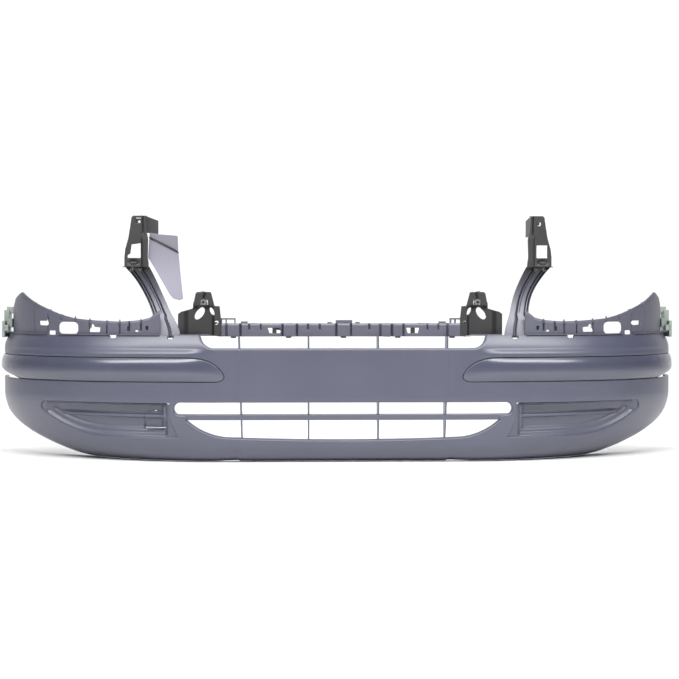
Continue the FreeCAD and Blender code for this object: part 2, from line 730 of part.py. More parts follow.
def arm(side):
    """Splayed arm: a web with four ribs, a foot and an outer cheek."""
    low = RAIL_LOW
    body = plate(arm_line(0, side) + arm_line(1, side)[::-1], ARM_SET, WALL)
    for share in (0.0, 0.33, 0.66, 0.96):
        left = arm_line(share, side)
        right = [(x - side * 2.5, z) for x, z in left]
        body = body.fuse(plate(left + right[::-1], ARM_SET - ARM_RIB, ARM_RIB + 1))
    front = behind(RAIL_SET)
    back = behind(ARM_SET + WALL)
    foot = box(side * BLOCK_OUTER, side * ARM_OUTER, front, back, low, low + WALL)
    cheek = box(side * (ARM_OUTER - WALL), side * ARM_OUTER, front, back, low, low + SHELF_LOW)
    body = body.fuse(foot).fuse(cheek)
    for x, z in arm_rivet_places(side):
        body = body.cut(rivet_hole(x, z))
    return cleaned(body)


def hook_x(inset, side, z):
    """Distance from the middle of a point of the upper bracket, from its outer edge inwards."""
    return side * (ARM_OUTER - WALL - ARM_STEP + ARM_SPLAY - inset) - sway(z)


def arm_rivet_places(side):
    z = RAIL_LOW + ARM_TALL - HOOK_LAP / 2
    return [(hook_x(inset, side, z), z) for inset in RIVET_INSETS]


def rivet_hole(x, z):
    return Part.makeCylinder(SCREW_R, 60, Vec(x, behind(ARM_SET - 30), z), Vec(0, 1, 0))


def hook_nut_place(side):
    z = RAIL_LOW + ARM_TALL + HOOK_TALL - 16
    return hook_x(36, side, z), z


def arm_bracket(side):
    """Dark bracket that carries the upper fixing; it laps the back of the arm's tip."""
    tip = RAIL_LOW + ARM_TALL
    top = tip + HOOK_TALL
    shoulder = tip + 0.6 * HOOK_TALL
    outline = [(ARM_TIP, tip - HOOK_LAP), (-3, tip - HOOK_LAP), (-3, tip + 32), (1, shoulder - 10),
               (14, top), (49, top), (ARM_TIP - 3, shoulder), (ARM_TIP, tip + 20)]
    bracket = plate([(hook_x(inset, side, z), z) for inset, z in outline], ARM_SET + WALL, WALL)
    front = behind(ARM_SET + WALL)
    window = box(hook_x(11, side, tip), hook_x(38, side, tip), front - 1, front + 10, tip + 27, tip + 61)
    bracket = bracket.cut(window)
    hole = NUT_SIDE / 2
    x, z = hook_nut_place(side)
    bracket = bracket.cut(box(x - hole, x + hole, front - 1, front + 10, z - hole, z + hole))
    upper = box(hook_x(49, side, top), hook_x(52, side, top), front, front + 40, shoulder + 6, top)
    lower = box(hook_x(ARM_TIP - WALL, side, tip), hook_x(ARM_TIP, side, tip), front, front + 26,
                tip + 2, shoulder - 8)
    bracket = bracket.fuse(upper).fuse(lower)
    for x, z in arm_rivet_places(side):
        bracket = bracket.cut(rivet_hole(x, z))
    return cleaned(bracket)


def arm_rivets(side):
    made = []
    for x, z in arm_rivet_places(side):
        shank = Part.makeCylinder(SCREW_R, 2 * WALL, Vec(x, behind(ARM_SET), z), Vec(0, 1, 0))
        front = Part.makeCylinder(SCREW_HEAD_R, 2, Vec(x, behind(ARM_SET) - 2, z), Vec(0, 1, 0))
        back = Part.makeCylinder(SCREW_HEAD_R, 2, Vec(x, behind(ARM_SET + 2 * WALL), z), Vec(0, 1, 0))
        made.append(shank.fuse(front).fuse(back))
    return made


def spring_nut(place, depth):
    """Square nut pressed into a bracket's square hole, with a round clearance bore."""
    x, z = place
    half = NUT_SIDE / 2
    nut = box(x - half, x + half, behind(depth), behind(depth + WALL), z - half, z + half)
    rim = box(x - half - 2, x + half + 2, behind(depth + WALL), behind(depth + WALL + NUT_THICK),
              z - half - 2, z + half + 2)
    bore = Part.makeCylinder(BOLT_R, 60, Vec(x, behind(depth) - 20, z), Vec(0, 1, 0))
    return nut.fuse(rim).cut(bore)


def intake_side_panel():
    """Pale panel beside the left arm; it butts against the bracket and laps the arm's back."""
    low = RAIL_LOW
    tip = low + ARM_TALL
    edge = hook_x(ARM_TIP, -1, tip)
    high = low + PANEL_HIGH
    outline = [(edge, high - 14), (edge + 26, high), (-PANEL_INNER - 13, high), (-PANEL_INNER - 13, high - PANEL_STEP),
               (-PANEL_INNER, high - PANEL_STEP - 4), (-PANEL_INNER, low + PANEL_LOW + 8),
               (-PANEL_INNER - 8, low + PANEL_LOW), (edge + 44, low + PANEL_LOW), (edge + 12, tip - 30),
               (edge, tip - HOOK_LAP)]
    panel = plate(outline, ARM_SET + WALL, WALL)
    rib = plate([(edge + 4, high - 18), (-PANEL_INNER - 4, high - PANEL_STEP - 8),
                 (-PANEL_INNER - 4, high - PANEL_STEP - 12), (edge + 4, high - 22)], ARM_SET + WALL - 8, 9)
    return cleaned(panel.fuse(rib))


# ---- headlight shelves -------------------------------------------------------------------------------
def shelf_height(t):
    """Top of the headlight wall: low in the middle, rising to the outer point, then falling."""
    t_in = t_at(ARM_OUTER + 60)
    if t <= SHELF_TIP_AT:
        climb = max(t - t_in, 0) / (SHELF_TIP_AT - t_in)
        return SKIN_TOP + SHELF_LOW + (SHELF_TIP - SHELF_LOW) * climb ** 2.2
    fall = (t - SHELF_TIP_AT) / (SHELF_END_AT - SHELF_TIP_AT)
    return SKIN_TOP + SHELF_TIP - (SHELF_TIP - 20) * fall


def headlight_shelf():
    t0 = t_at(ARM_OUTER - 20)
    shelf_top = SKIN_TOP - WALL
    wall_low = shelf_top - WALL
    rising = wall_patch(t0, SHELF_TIP_AT, wall_low, shelf_height, SHELF_SET, SHELF_SET + WALL, 40, 6)
    falling = wall_patch(SHELF_TIP_AT - 0.001, SHELF_END_AT, wall_low, shelf_height,
                         SHELF_SET, SHELF_SET + WALL, 12, 6)
    front = lean(0, shelf_top) + LAP + WALL / 3
    shelf = wall_patch(t0, SHELF_END_AT, wall_low, shelf_top, front, SHELF_SET + WALL / 2, 50)
    lip = face_patch(t0, SHELF_END_AT, SKIN_TOP - LIP_TALL, SKIN_TOP - 1.5, LAP, LAP + WALL, 60, 9)
    body = rising.fuse(falling).fuse(shelf).fuse(lip)
    for x in SHELF_RIBS:
        t = t_at(x * ACROSS)
        rib = wall_patch(t - 0.0011, t + 0.0011, shelf_top - 1, shelf_height, front + WALL, SHELF_SET + 1, 2)
        body = body.fuse(rib)
    body = body.cut(box(0, ARM_OUTER, -DEPTH, DEPTH, 0, 2 * SKIN_TOP))
    body = body.cut([peg(t, z, SKIN, LAP + WALL + 1, SCREW_R) for t, z in seam_clip_places()])
    for drawn_x, wide, low, tall in SHELF_WINDOWS:
        x = drawn_x * ACROSS
        y = plan(t_at(x), SHELF_SET)[1]
        body = body.cut(box(x - wide / 2, x + wide / 2, y - 40, y + 40, SKIN_TOP + low, SKIN_TOP + low + tall))
    return cleaned(body)


def end_retainer():
    """Moulded strip that hooks the cover's end to the wing."""
    t0 = SHELF_END_AT - 0.06
    outer = SHELF_SET + WALL
    return wall_patch(t0, SHELF_END_AT - 0.01, SKIN_TOP - 10, SKIN_TOP + 58, outer, outer + WALL, 8)


# ---- write the sub-parts ---------------------------------------------------------------------------------
def save(name, shape):
    if isinstance(shape, list):
        shape = Part.makeCompound(shape)
    shape.exportStep("parts/" + name + ".step")
    print(name, "valid" if shape.isValid() else "INVALID", len(shape.Solids), round(shape.Volume))


def save_pair(name, shape):
    """Right-hand piece as modelled, left-hand piece mirrored."""
    save("right_" + name, shape)
    save("left_" + name, mirrored(shape))


def save_both(name, solids):
    save(name, solids + [mirrored(solid) for solid in solids])


def main():
    os.makedirs("parts", exist_ok=True)
    save("bumper_skin", bumper_skin())
    save_pair("rub_strip", rub_strip())
    save_both("strip_clips", strip_clips())
    save("right_lower_insert", lower_insert(1))
    save("left_lower_insert", lower_insert(-1))
    save_both("insert_screws", screws(insert_screw_places(), INSERT_WALL))
    save("tow_eye_cap", tow_eye_cap())
    save("tow_cap_pin", tow_cap_pin())
    save("grille_crossbar", grille_crossbar())
    for number, x in enumerate(fin_places(), 1):
        save("grille_fin_" + str(number), grille_fin(x))
    save("centre_rail", centre_rail())
    save_pair("shoulder_block", shoulder_block())
    nuts = []
    rivets = []
    for name, side in (("right_", 1), ("left_", -1)):
        save(name + "grille_bracket", grille_bracket(side))
        save(name + "arm", arm(side))
        save(name + "arm_bracket", arm_bracket(side))
        rivets += arm_rivets(side)
        nuts.append(spring_nut(hook_nut_place(side), ARM_SET + WALL))
        nuts.append(spring_nut(grille_nut_place(side), RAIL_SET - WALL))
    save("arm_rivets", rivets)
    save("spring_nuts", nuts)
    save("intake_side_panel", intake_side_panel())
    save_pair("headlight_shelf", headlight_shelf())
    save_both("seam_screws", screws(seam_clip_places(), WALL))
    save_pair("end_retainer", end_retainer())


main()
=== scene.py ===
"""Front bumper cover of a van: the visual pieces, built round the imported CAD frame."""
import json
import math

import bpy
import numpy as np
from bpy.props import FloatProperty, FloatVectorProperty, PointerProperty
from mathutils import Euler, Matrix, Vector


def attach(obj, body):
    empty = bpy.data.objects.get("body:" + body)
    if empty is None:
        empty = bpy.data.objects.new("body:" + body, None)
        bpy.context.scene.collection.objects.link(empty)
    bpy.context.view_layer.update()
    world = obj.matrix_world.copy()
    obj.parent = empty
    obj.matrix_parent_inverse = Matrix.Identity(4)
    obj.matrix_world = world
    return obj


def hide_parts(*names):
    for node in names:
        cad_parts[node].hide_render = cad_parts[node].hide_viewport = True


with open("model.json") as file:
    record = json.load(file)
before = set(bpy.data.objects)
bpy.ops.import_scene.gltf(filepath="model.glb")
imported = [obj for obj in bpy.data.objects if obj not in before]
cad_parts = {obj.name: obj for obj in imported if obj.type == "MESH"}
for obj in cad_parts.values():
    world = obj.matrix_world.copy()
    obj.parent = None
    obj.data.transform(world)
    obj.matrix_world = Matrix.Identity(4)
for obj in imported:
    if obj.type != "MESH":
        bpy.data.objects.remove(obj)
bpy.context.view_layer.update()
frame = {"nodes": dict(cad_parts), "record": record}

bl_info = {
    "name": "Bumper Cover",
    "version": (1, 0, 0),
    "blender": (4, 5, 0),
    "location": "3D View > Sidebar > Bumper",
    "description": "Builds a van's front bumper cover, its trim, brackets and studio",
    "category": "Object",
}

# ---- sizes of the design, in metres ----
FRONT = -0.272
DEPTH = 0.560
PROUD = 0.008
HALF_WIDTH = 0.950
FLAT_HALF = 0.269
PLAN_POWER = 2.3
SKIN_TOP = 0.332
CHIN_DEEP = 0.045
CHIN_TALL = 0.042
CHIN_SHARE = 0.2
LEAN_TOP = 0.172
LEAN_FRONT = 0.030
LEAN_SIDE = 0.110
CORNER_RISE = 0.100
SHOULDER_LOW = 0.292
SHOULDER_ROLL = 0.014
ARCH_RADIUS = 0.420
ARCH_HEIGHT = 0.117
NOTCH_LOW = 0.298
NOTCH_HALF_TOP = 0.372
NOTCH_HALF_LOW = 0.328
BAR_LOW = 0.111
BAR_TALL = 0.013
SLOT_TOP = 0.157
SLOT_HALF = 0.440
MOUTH_LOW = 0.058
MOUTH_HALF = 0.408
RECESS_TOP = 0.155
RECESS_LOW = 0.065
RECESS_INNER = 0.452
RECESS_OUTER = 0.800
RECESS_BEND = 0.600
RECESS_CLIMB = 0.062
STRIP_LOW = 0.210
STRIP_HIGH = 0.273
STRIP_INNER = 0.310
INSERT_DEEP = 0.020
RIDGE_OUT = 0.008
STRIP_END_AT = 0.943
CAP_X = -0.491
CAP_LOW = 0.091
CAP_HALF = 0.0265
CAP_SPRING = 0.028
CAP_ARCH = 0.0165

LAP = 0.004
RAIL_LOW = 0.329
RAIL_HALF = 0.322
BLOCK_OUTER = 0.400
ARM_FOOT = 0.489
ARM_SPLAY = 0.072
ARM_TIP = 0.061
ARM_TALL = 0.181
ARM_SET = 0.100
ARM_SWAY = 0.010
SWAY_TALL = 0.130
GRILLE_SWAY = 0.006
SHELF_SET = 0.026
HOOK_SET = 0.103
# line of the intake panel's slanting rib: a point on it, and how fast it falls
PANEL_RIB_X = -0.504
PANEL_RIB_Z = 0.5853
PANEL_RIB_FALL = 0.509

CORNER_HALF = HALF_WIDTH - FLAT_HALF
CORNER_DEPTH = DEPTH - PROUD
FLAT_SHARE = FLAT_HALF / (FLAT_HALF + CORNER_HALF * math.pi / 2)

# ---- how the meshes are made ----
TRIM_STEPS = 7                 # steps that pull a sheet's cut edge onto its outline
RIM_STEPS = 4                  # steps round a rolled rim
CREASE = math.radians(38)      # edges sharper than this stay crisp
BLOCK_FACES = ((0, 2, 3, 1), (4, 5, 7, 6), (0, 1, 5, 4), (2, 6, 7, 3), (0, 4, 6, 2), (1, 3, 7, 5))

# ---- details along the top, in metres ----
RAIL_RIBS = (-0.3046, -0.268, -0.1578, -0.1208, -0.0173, 0.0207, 0.0977, 0.1281, 0.1578, 0.2731, 0.3101)
RAIL_SHORT_RIBS = (-0.245, -0.2145, -0.0916, -0.0609, 0.0685, 0.2208, 0.2492)
RAIL_STEPS = ((-0.3046, -0.268), (-0.1578, -0.1208), (-0.0173, 0.0207), (0.1281, 0.1578), (0.2731, 0.3101))
RAIL_CLIPS = (-0.1787, 0.1832)
RAIL_TABS = (-0.2865, -0.1426, 0.0011, 0.1434, 0.2862)
# raised stops on the rail: middle, width, top
RAIL_BUMPS = ((0.0025, 0.043, 0.3705), (-0.035, 0.012, 0.3655), (0.038, 0.012, 0.3655),
              (-0.258, 0.018, 0.367), (0.260, 0.018, 0.367))
# gaps in the seam between face and shelf: from, to, low, high
SEAM_GAPS = ((0.7646, 0.7846, 0.330, 0.341), (0.5934, 0.6115, 0.3235, 0.3335),
             (0.4415, 0.4574, 0.3215, 0.3305))
# top edge of the headlight wall: place along the plan, height
SHELF_EDGE = ((0.3600, 0.3950), (0.3689, 0.3870), (0.3793, 0.3765), (0.3986, 0.3700), (0.4216, 0.3672),
              (0.4437, 0.3660), (0.4724, 0.3669), (0.5129, 0.3693), (0.5500, 0.3730), (0.5895, 0.3823),
              (0.6336, 0.3971), (0.6879, 0.4149), (0.7603, 0.4429), (0.7680, 0.4425), (0.8341, 0.4262),
              (0.8800, 0.4050), (0.9017, 0.3910))
# upright ribs of the headlight wall: place along the plan, lowest height
SHELF_RIBS = ((0.6879, 0.33), (0.6336, 0.33), (0.5895, 0.366), (0.5500, 0.350), (0.5129, 0.33),
              (0.4724, 0.33), (0.4437, 0.33), (0.4229, 0.350), (0.3986, 0.340))
# tips of the ribs that stand over the wall: place along the plan, top
SHELF_TIPS = ((0.5500, 0.3795), (0.5129, 0.3740), (0.4724, 0.3700), (0.4437, 0.3715), (0.3986, 0.3735),
              (0.5895, 0.3850), (0.6336, 0.3990))
# windows with near-black blocks behind them, painted shade inside the windows: from, to, low, high
SHELF_DARK = ((-0.5643, -0.5562, 0.3414, 0.3537), (-0.5149, -0.5078, 0.3445, 0.3553))
SEAM_SCREWS = (0.560, 0.700, 0.830)
# catches at the cover's ends: from, to, front, back, low, high
RETAINER_BLOCKS = ((0.918, 0.934, 0.42, 0.50, 0.345, 0.370), (0.930, 0.944, 0.44, 0.49, 0.360, 0.394),
                   (0.922, 0.938, 0.45, 0.50, 0.384, 0.403), (0.936, 0.944, 0.40, 0.52, 0.318, 0.364),
                   (0.926, 0.940, 0.40, 0.43, 0.336, 0.352))


# ---- the face as a formula ----
def smooth(value):
    """0 below 0, 1 above 1, smooth in between."""
    value = np.clip(value, 0.0, 1.0)
    return value * value * (3 - 2 * value)


def plan(t, inset):
    """Points of the plan curve moved inwards; t runs from -1 at one wheel arch to 1 at the other."""
    share = np.abs(t)
    side = np.where(t < 0, -1.0, 1.0)
    turn = np.clip((share - FLAT_SHARE) / (1 - FLAT_SHARE), 0.0, 1.0) * math.pi / 2
    s = np.sin(turn)
    c = np.maximum(np.cos(turn), 1e-9)
    r = (s ** PLAN_POWER + c ** PLAN_POWER) ** (-1 / PLAN_POWER)
    out_x = (r * s) ** (PLAN_POWER - 1) / CORNER_HALF
    out_y = (r * c) ** (PLAN_POWER - 1) / CORNER_DEPTH
    size = np.hypot(out_x, out_y)
    flat = share < FLAT_SHARE
    x = np.where(flat, FLAT_HALF * share / FLAT_SHARE, FLAT_HALF + CORNER_HALF * r * s - inset * out_x / size)
    y = FRONT + CORNER_DEPTH * (1 - r * c) + inset * out_y / size
    return side * x, y


def lower_edge(t):
    return CORNER_RISE * smooth((np.abs(t) - 0.55) / 0.45)


def lean(t, z):
    reach = LEAN_FRONT + (LEAN_SIDE - LEAN_FRONT) * smooth((np.abs(t) - 0.25) / 0.45)
    low = reach * np.maximum(1 - z / LEAN_TOP, 0.0) ** 2
    high = SHOULDER_ROLL * np.maximum((z - SHOULDER_LOW) / (SKIN_TOP - SHOULDER_LOW), 0.0) ** 1.5
    return low + high


def section(t, v):
    """Inset and height on the outer surface; v runs from the lip's rear edge to the seam."""
    foot = lower_edge(t)
    turn = math.pi / 2 * np.clip(v / CHIN_SHARE, 0, 1)
    z_chin = foot + CHIN_TALL * (1 - np.cos(turn))
    z_wall = foot + CHIN_TALL + (SKIN_TOP - foot - CHIN_TALL) * (v - CHIN_SHARE) / (1 - CHIN_SHARE)
    z = np.where(v < CHIN_SHARE, z_chin, z_wall)
    return lean(t, z) + CHIN_DEEP * (1 - np.sin(turn)), z


def v_at(t, z):
    """Section parameter of a height above the chin radius."""
    foot = lower_edge(t) + CHIN_TALL
    return CHIN_SHARE + (1 - CHIN_SHARE) * (z - foot) / (SKIN_TOP - foot)


def t_at(x):
    """Plan parameter of a distance from the middle."""
    grid = np.linspace(0, 1, 4001)
    return float(np.copysign(np.interp(abs(x), plan(grid, 0.0)[0], grid), x))


def face(t, v, off):
    """Points on the face, a distance under its outer surface."""
    step = 1e-3
    w0, z0 = section(t, np.maximum(v - step, 0.0))
    w1, z1 = section(t, v + step)
    size = np.hypot(w1 - w0, z1 - z0)
    w, z = section(t, v)
    x, y = plan(t, w + off * (z1 - z0) / size)
    return np.stack([x, y, z + off * (w0 - w1) / size], axis=-1)


# ---- outlines in the plane of x and z ----
def arc3(a, b, c, count=14):
    """Points along the circle through three points."""
    ax, az = a
    bx, bz = b
    cx, cz = c
    d = 2 * (ax * (bz - cz) + bx * (cz - az) + cx * (az - bz))
    ux = ((ax * ax + az * az) * (bz - cz) + (bx * bx + bz * bz) * (cz - az)
          + (cx * cx + cz * cz) * (az - bz)) / d
    uz = ((ax * ax + az * az) * (cx - bx) + (bx * bx + bz * bz) * (ax - cx)
          + (cx * cx + cz * cz) * (bx - ax)) / d
    start = math.atan2(az - uz, ax - ux)
    middle = (math.atan2(bz - uz, bx - ux) - start) % (2 * math.pi)
    end = (math.atan2(cz - uz, cx - ux) - start) % (2 * math.pi)
    if middle > end:
        end -= 2 * math.pi
    radius = math.hypot(ax - ux, az - uz)
    return [(ux + radius * math.cos(start + end * k / count), uz + radius * math.sin(start + end * k / count))
            for k in range(count + 1)]


def ellipse(x, z, half_long, half_short, tilt):
    turns = np.linspace(0, 2 * math.pi, 28, endpoint=False)
    a = math.radians(tilt)
    u = half_long * np.cos(turns)
    w = half_short * np.sin(turns)
    return np.stack([x + u * math.cos(a) - w * math.sin(a), z + u * math.sin(a) + w * math.cos(a)], axis=-1)


def rectangle(x0, x1, z0, z1):
    return np.array([(x0, z0), (x1, z0), (x1, z1), (x0, z1)])


def rounded_rectangle(x0, x1, z0, z1, radius):
    turns = np.linspace(0, math.pi / 2, 6)
    points = []
    for k, (x, z) in enumerate(((x1 - radius, z1 - radius), (x0 + radius, z1 - radius),
                                (x0 + radius, z0 + radius), (x1 - radius, z0 + radius))):
        a = turns + k * math.pi / 2
        points += list(zip(x + radius * np.cos(a), z + radius * np.sin(a)))
    return np.array(points)


# windows of the headlight wall, as on the left
SHELF_HOLES = [
    np.array([(-0.8152, 0.3664), (-0.7926, 0.3667), (-0.7893, 0.3765), (-0.7831, 0.3752), (-0.7861, 0.3543),
              (-0.8136, 0.3552)]),
    rounded_rectangle(-0.7551, -0.6985, 0.3325, 0.3645, 0.012),
    np.array([(-0.6625, 0.3597), (-0.6553, 0.3584), (-0.6524, 0.3518), (-0.6368, 0.3506), (-0.6383, 0.3385),
              (-0.6654, 0.3385)]),
    rectangle(-0.5427, -0.5346, 0.3400, 0.3441),
] + [rectangle(*dark) for dark in SHELF_DARK]


def flipped(outline, sway=0.0):
    """Outline for the other side of the cover, which may stand a little towards -X."""
    return np.array(outline) * [-1, 1] - [2 * sway, 0]


def inside_by(x, z, outline):
    """Signed distance to a closed outline, positive inside it."""
    best = np.full(x.shape, 1e9)
    crossed = np.zeros(x.shape, bool)
    for (ax, az), (bx, bz) in zip(outline, np.roll(outline, -1, axis=0)):
        dx = bx - ax
        dz = bz - az
        along = np.clip(((x - ax) * dx + (z - az) * dz) / max(dx * dx + dz * dz, 1e-12), 0, 1)
        best = np.minimum(best, np.hypot(x - ax - along * dx, z - az - along * dz))
        if dz != 0:
            crossed ^= ((az > z) != (bz > z)) & (x < dx * (z - az) / dz + ax)
    return np.where(crossed, best, -best)


def recess_floor(x):
    climb = np.maximum((np.abs(x) - RECESS_BEND) / (RECESS_OUTER - RECESS_BEND), 0.0)
    return RECESS_LOW + RECESS_CLIMB * climb ** 2.5


def notch_outline():
    high = SKIN_TOP + 0.1
    right = arc3((NOTCH_HALF_LOW, NOTCH_LOW), (NOTCH_HALF_TOP - 0.010, NOTCH_LOW + 0.013),
                 (NOTCH_HALF_TOP, SKIN_TOP)) + [(NOTCH_HALF_TOP, high)]
    return np.array(right + [(-x, z) for x, z in reversed(right)])


def slot_outline():
    low = BAR_LOW + BAR_TALL
    return rounded_rectangle(-SLOT_HALF, SLOT_HALF, low, SLOT_TOP, (SLOT_TOP - low) * 0.49)


def mouth_outline():
    low = (MOUTH_HALF - 0.108, MOUTH_LOW + 0.006)
    right = arc3((MOUTH_HALF, BAR_LOW), (MOUTH_HALF - 0.040, MOUTH_LOW + 0.025), low)
    floor = arc3(low, (0, MOUTH_LOW), (-low[0], low[1]))
    return np.array(right + floor[1:-1] + [(-x, z) for x, z in reversed(right)])


def recess_outline():
    xs = np.linspace(RECESS_INNER - 0.022, RECESS_OUTER, 16)
    floor = [(x, float(recess_floor(x))) for x in xs]
    end = arc3(floor[-1], (RECESS_OUTER + 0.005, (RECESS_TOP + floor[-1][1]) / 2),
               (RECESS_OUTER - 0.006, RECESS_TOP))
    return np.array([(RECESS_INNER, BAR_LOW)] + floor + end[1:] + [(RECESS_INNER, RECESS_TOP)])


def strip_outline():
    tall = STRIP_HIGH - STRIP_LOW
    nose = [(0.034, 0.0), (0.020, 0.0), (0.010, 0.03), (0.003, 0.10), (0.000, 0.22), (0.003, 0.36),
            (0.012, 0.54), (0.024, 0.70), (0.038, 0.83), (0.056, 0.93), (0.078, 0.985), (0.105, 1.0)]
    points = [(STRIP_INNER + reach, STRIP_LOW + rise * tall) for reach, rise in nose]
    return np.array([(1.2, STRIP_HIGH), (1.2, STRIP_LOW)] + points)


def cap_outline():
    spring = CAP_LOW + CAP_SPRING
    turns = np.linspace(0, math.pi, 20)
    arch = [(CAP_X + CAP_HALF * math.cos(a), spring + CAP_ARCH * math.sin(a)) for a in turns]
    return np.array([(CAP_X - CAP_HALF, CAP_LOW), (CAP_X + CAP_HALF, CAP_LOW)] + arch)


# ---- meshes ----
def make_object(name, points, faces, look, body="cover"):
    """Smooth-shaded piece that rides on a body; look is a material slot's name."""
    mesh = bpy.data.meshes.new(name)
    mesh.from_pydata([tuple(p) for p in points], [], [tuple(int(i) for i in f) for f in faces])
    mesh.validate()
    mesh.shade_smooth()
    mesh.materials.append(bpy.data.materials[look])
    piece = bpy.data.objects.new(name, mesh)
    bpy.context.collection.objects.link(piece)
    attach(piece, body)
    return piece


def trimmed_sheet(a_list, b_list, place, room):
    """Grid of place(a, b) cut to where room(points) is positive, its cut edge moved onto the limit.

    Returns points, quads and the points' normals."""
    a, b = np.meshgrid(a_list, b_list, indexing="ij")
    live = room(place(a, b)) > 0
    cell_live = live[:-1, :-1] | live[1:, :-1] | live[:-1, 1:] | live[1:, 1:]
    used = np.zeros(a.shape, bool)
    rows, columns = a.shape
    for i in (0, 1):
        for j in (0, 1):
            used[i:rows - 1 + i, j:columns - 1 + j] |= cell_live
    da, db = 2e-4, 4e-4
    moved = used & ~live
    ma, mb = a[moved], b[moved]
    for _ in range(TRIM_STEPS):
        here = place(ma, mb)
        space = room(here)
        next_a = place(ma + da, mb)
        next_b = place(ma, mb + db)
        size_a = np.maximum(np.linalg.norm(next_a - here, axis=-1) / da, 1e-3)
        size_b = np.maximum(np.linalg.norm(next_b - here, axis=-1) / db, 1e-3)
        slope_a = (room(next_a) - space) / da / size_a
        slope_b = (room(next_b) - space) / db / size_b
        pull = -space / np.maximum(slope_a ** 2 + slope_b ** 2, 0.2)
        ma = np.clip(ma + np.clip(pull * slope_a, -0.01, 0.01) / size_a, a_list[0], a_list[-1])
        mb = np.clip(mb + np.clip(pull * slope_b, -0.01, 0.01) / size_b, b_list[0], b_list[-1])
    a[moved] = ma
    b[moved] = mb
    points = place(a, b)
    normals = np.cross(place(a + da, b) - points, place(a, b + db) - points)
    normals /= np.maximum(np.linalg.norm(normals, axis=-1, keepdims=True), 1e-12)
    index = np.full(a.shape, -1)
    index[used] = np.arange(used.sum())
    quads = np.stack([index[:-1, :-1], index[1:, :-1], index[1:, 1:], index[:-1, 1:]], axis=-1)
    return points[used], quads[cell_live], normals[used]


def add_rim(points, quads, normals, radius_of, back):
    """Rolls the sheet's free edge over a radius, then turns it straight back."""
    directed = {(int(q[i]), int(q[(i + 1) % 4])) for q in quads for i in range(4)}
    edges = [(p, q) for p, q in sorted(directed) if (q, p) not in directed]
    ends = sorted({p for edge in edges for p in edge})
    order = {p: i for i, p in enumerate(ends)}
    outward = np.zeros((len(ends), 3))
    for p, q in edges:
        side = np.cross(points[q] - points[p], normals[p])
        size = np.linalg.norm(side)
        if size > 1e-12:
            outward[order[p]] += side / size
            outward[order[q]] += side / size
    base = points[ends]
    up = normals[ends]
    outward -= up * np.sum(outward * up, axis=1, keepdims=True)
    outward /= np.maximum(np.linalg.norm(outward, axis=1, keepdims=True), 1e-9)
    radius = radius_of(base)[:, None]
    turns = [math.pi / 2 * (i + 1) / RIM_STEPS for i in range(RIM_STEPS)]
    profile = [(radius * math.sin(turn), radius * (1 - math.cos(turn))) for turn in turns]
    profile.append((radius, radius + back))
    rings = [np.array(ends)]
    new_points = [points]
    start = len(points)
    for out, under in profile:
        new_points.append(base + outward * out - up * under)
        rings.append(np.arange(start, start + len(ends)))
        start += len(ends)
    new_quads = [quads]
    for near, far in zip(rings, rings[1:]):
        new_quads.append(np.array([[near[order[q]], near[order[p]], far[order[p]], far[order[q]]]
                                   for p, q in edges]))
    return np.concatenate(new_points), np.concatenate(new_quads)


def sheet_piece(name, look, grids, place, room, radius=0.001, back=0.004, wall=0.0, body="cover"):
    """Trimmed sheet with a rolled rim; radius is a length or a function of the rim's points."""
    radius_of = radius if callable(radius) else lambda rim: np.full(len(rim), radius)
    points, quads, normals = trimmed_sheet(*grids, place, room)
    points, quads = add_rim(points, quads, normals, radius_of, back)
    piece = make_object(name, points, quads, look, body)
    if wall:
        solid = piece.modifiers.new("Wall", "SOLIDIFY")
        solid.thickness = wall
        solid.offset = -1
    piece.data.set_sharp_from_angle(angle=CREASE)
    return piece


def plate_piece(name, look, outline, depth_of, holes=(), spacing=0.0025, radius=0.001, back=0.004):
    """Front-facing plate with holes; depth_of gives its depth behind the front plane."""
    outline = np.array(outline)
    low = outline.min(axis=0) - spacing
    high = outline.max(axis=0) + spacing
    grids = [np.arange(low[i], high[i] + spacing, spacing) for i in (0, 1)]

    def place(x, z):
        return np.stack([x, FRONT + depth_of(x, z), z], axis=-1)

    def room(points):
        x, z = points[..., 0], points[..., 2]
        space = inside_by(x, z, outline)
        for hole in holes:
            space = np.minimum(space, -inside_by(x, z, hole))
        return space - radius

    return sheet_piece(name, look, grids, place, room, radius, back, 0.0012)


def block_piece(name, look, blocks, bevel=0.0008):
    """Rounded blocks given as (x0, x1, depth0, depth1, z0, z1) or as eight corners."""
    points = []
    faces = []
    for block in blocks:
        if len(block) == 6:
            x0, x1, d0, d1, z0, z1 = block
            block = [(x, d, z) for z in (z0, z1) for d in (d0, d1) for x in (x0, x1)]
        start = len(points)
        points += [(x, FRONT + depth, z) for x, depth, z in block]
        for corners in BLOCK_FACES:
            faces.append([start + i for i in corners])
    piece = make_object(name, points, faces, look)
    edge = piece.modifiers.new("Edge", "BEVEL")
    edge.width = bevel
    edge.segments = 2
    piece.data.set_sharp_from_angle(angle=CREASE)
    return piece


def sweep_piece(name, look, rings, body="cover"):
    """Closed bar through rings of points, with capped ends."""
    rings = np.array(rings)
    count, around = rings.shape[:2]
    faces = [[i * around + k, i * around + (k + 1) % around, (i + 1) * around + (k + 1) % around,
              (i + 1) * around + k] for i in range(count - 1) for k in range(around)]
    faces.append(list(range(around))[::-1])
    faces.append([(count - 1) * around + k for k in range(around)])
    piece = make_object(name, rings.reshape(-1, 3), faces, look, body)
    piece.data.set_sharp_from_angle(angle=CREASE)
    return piece


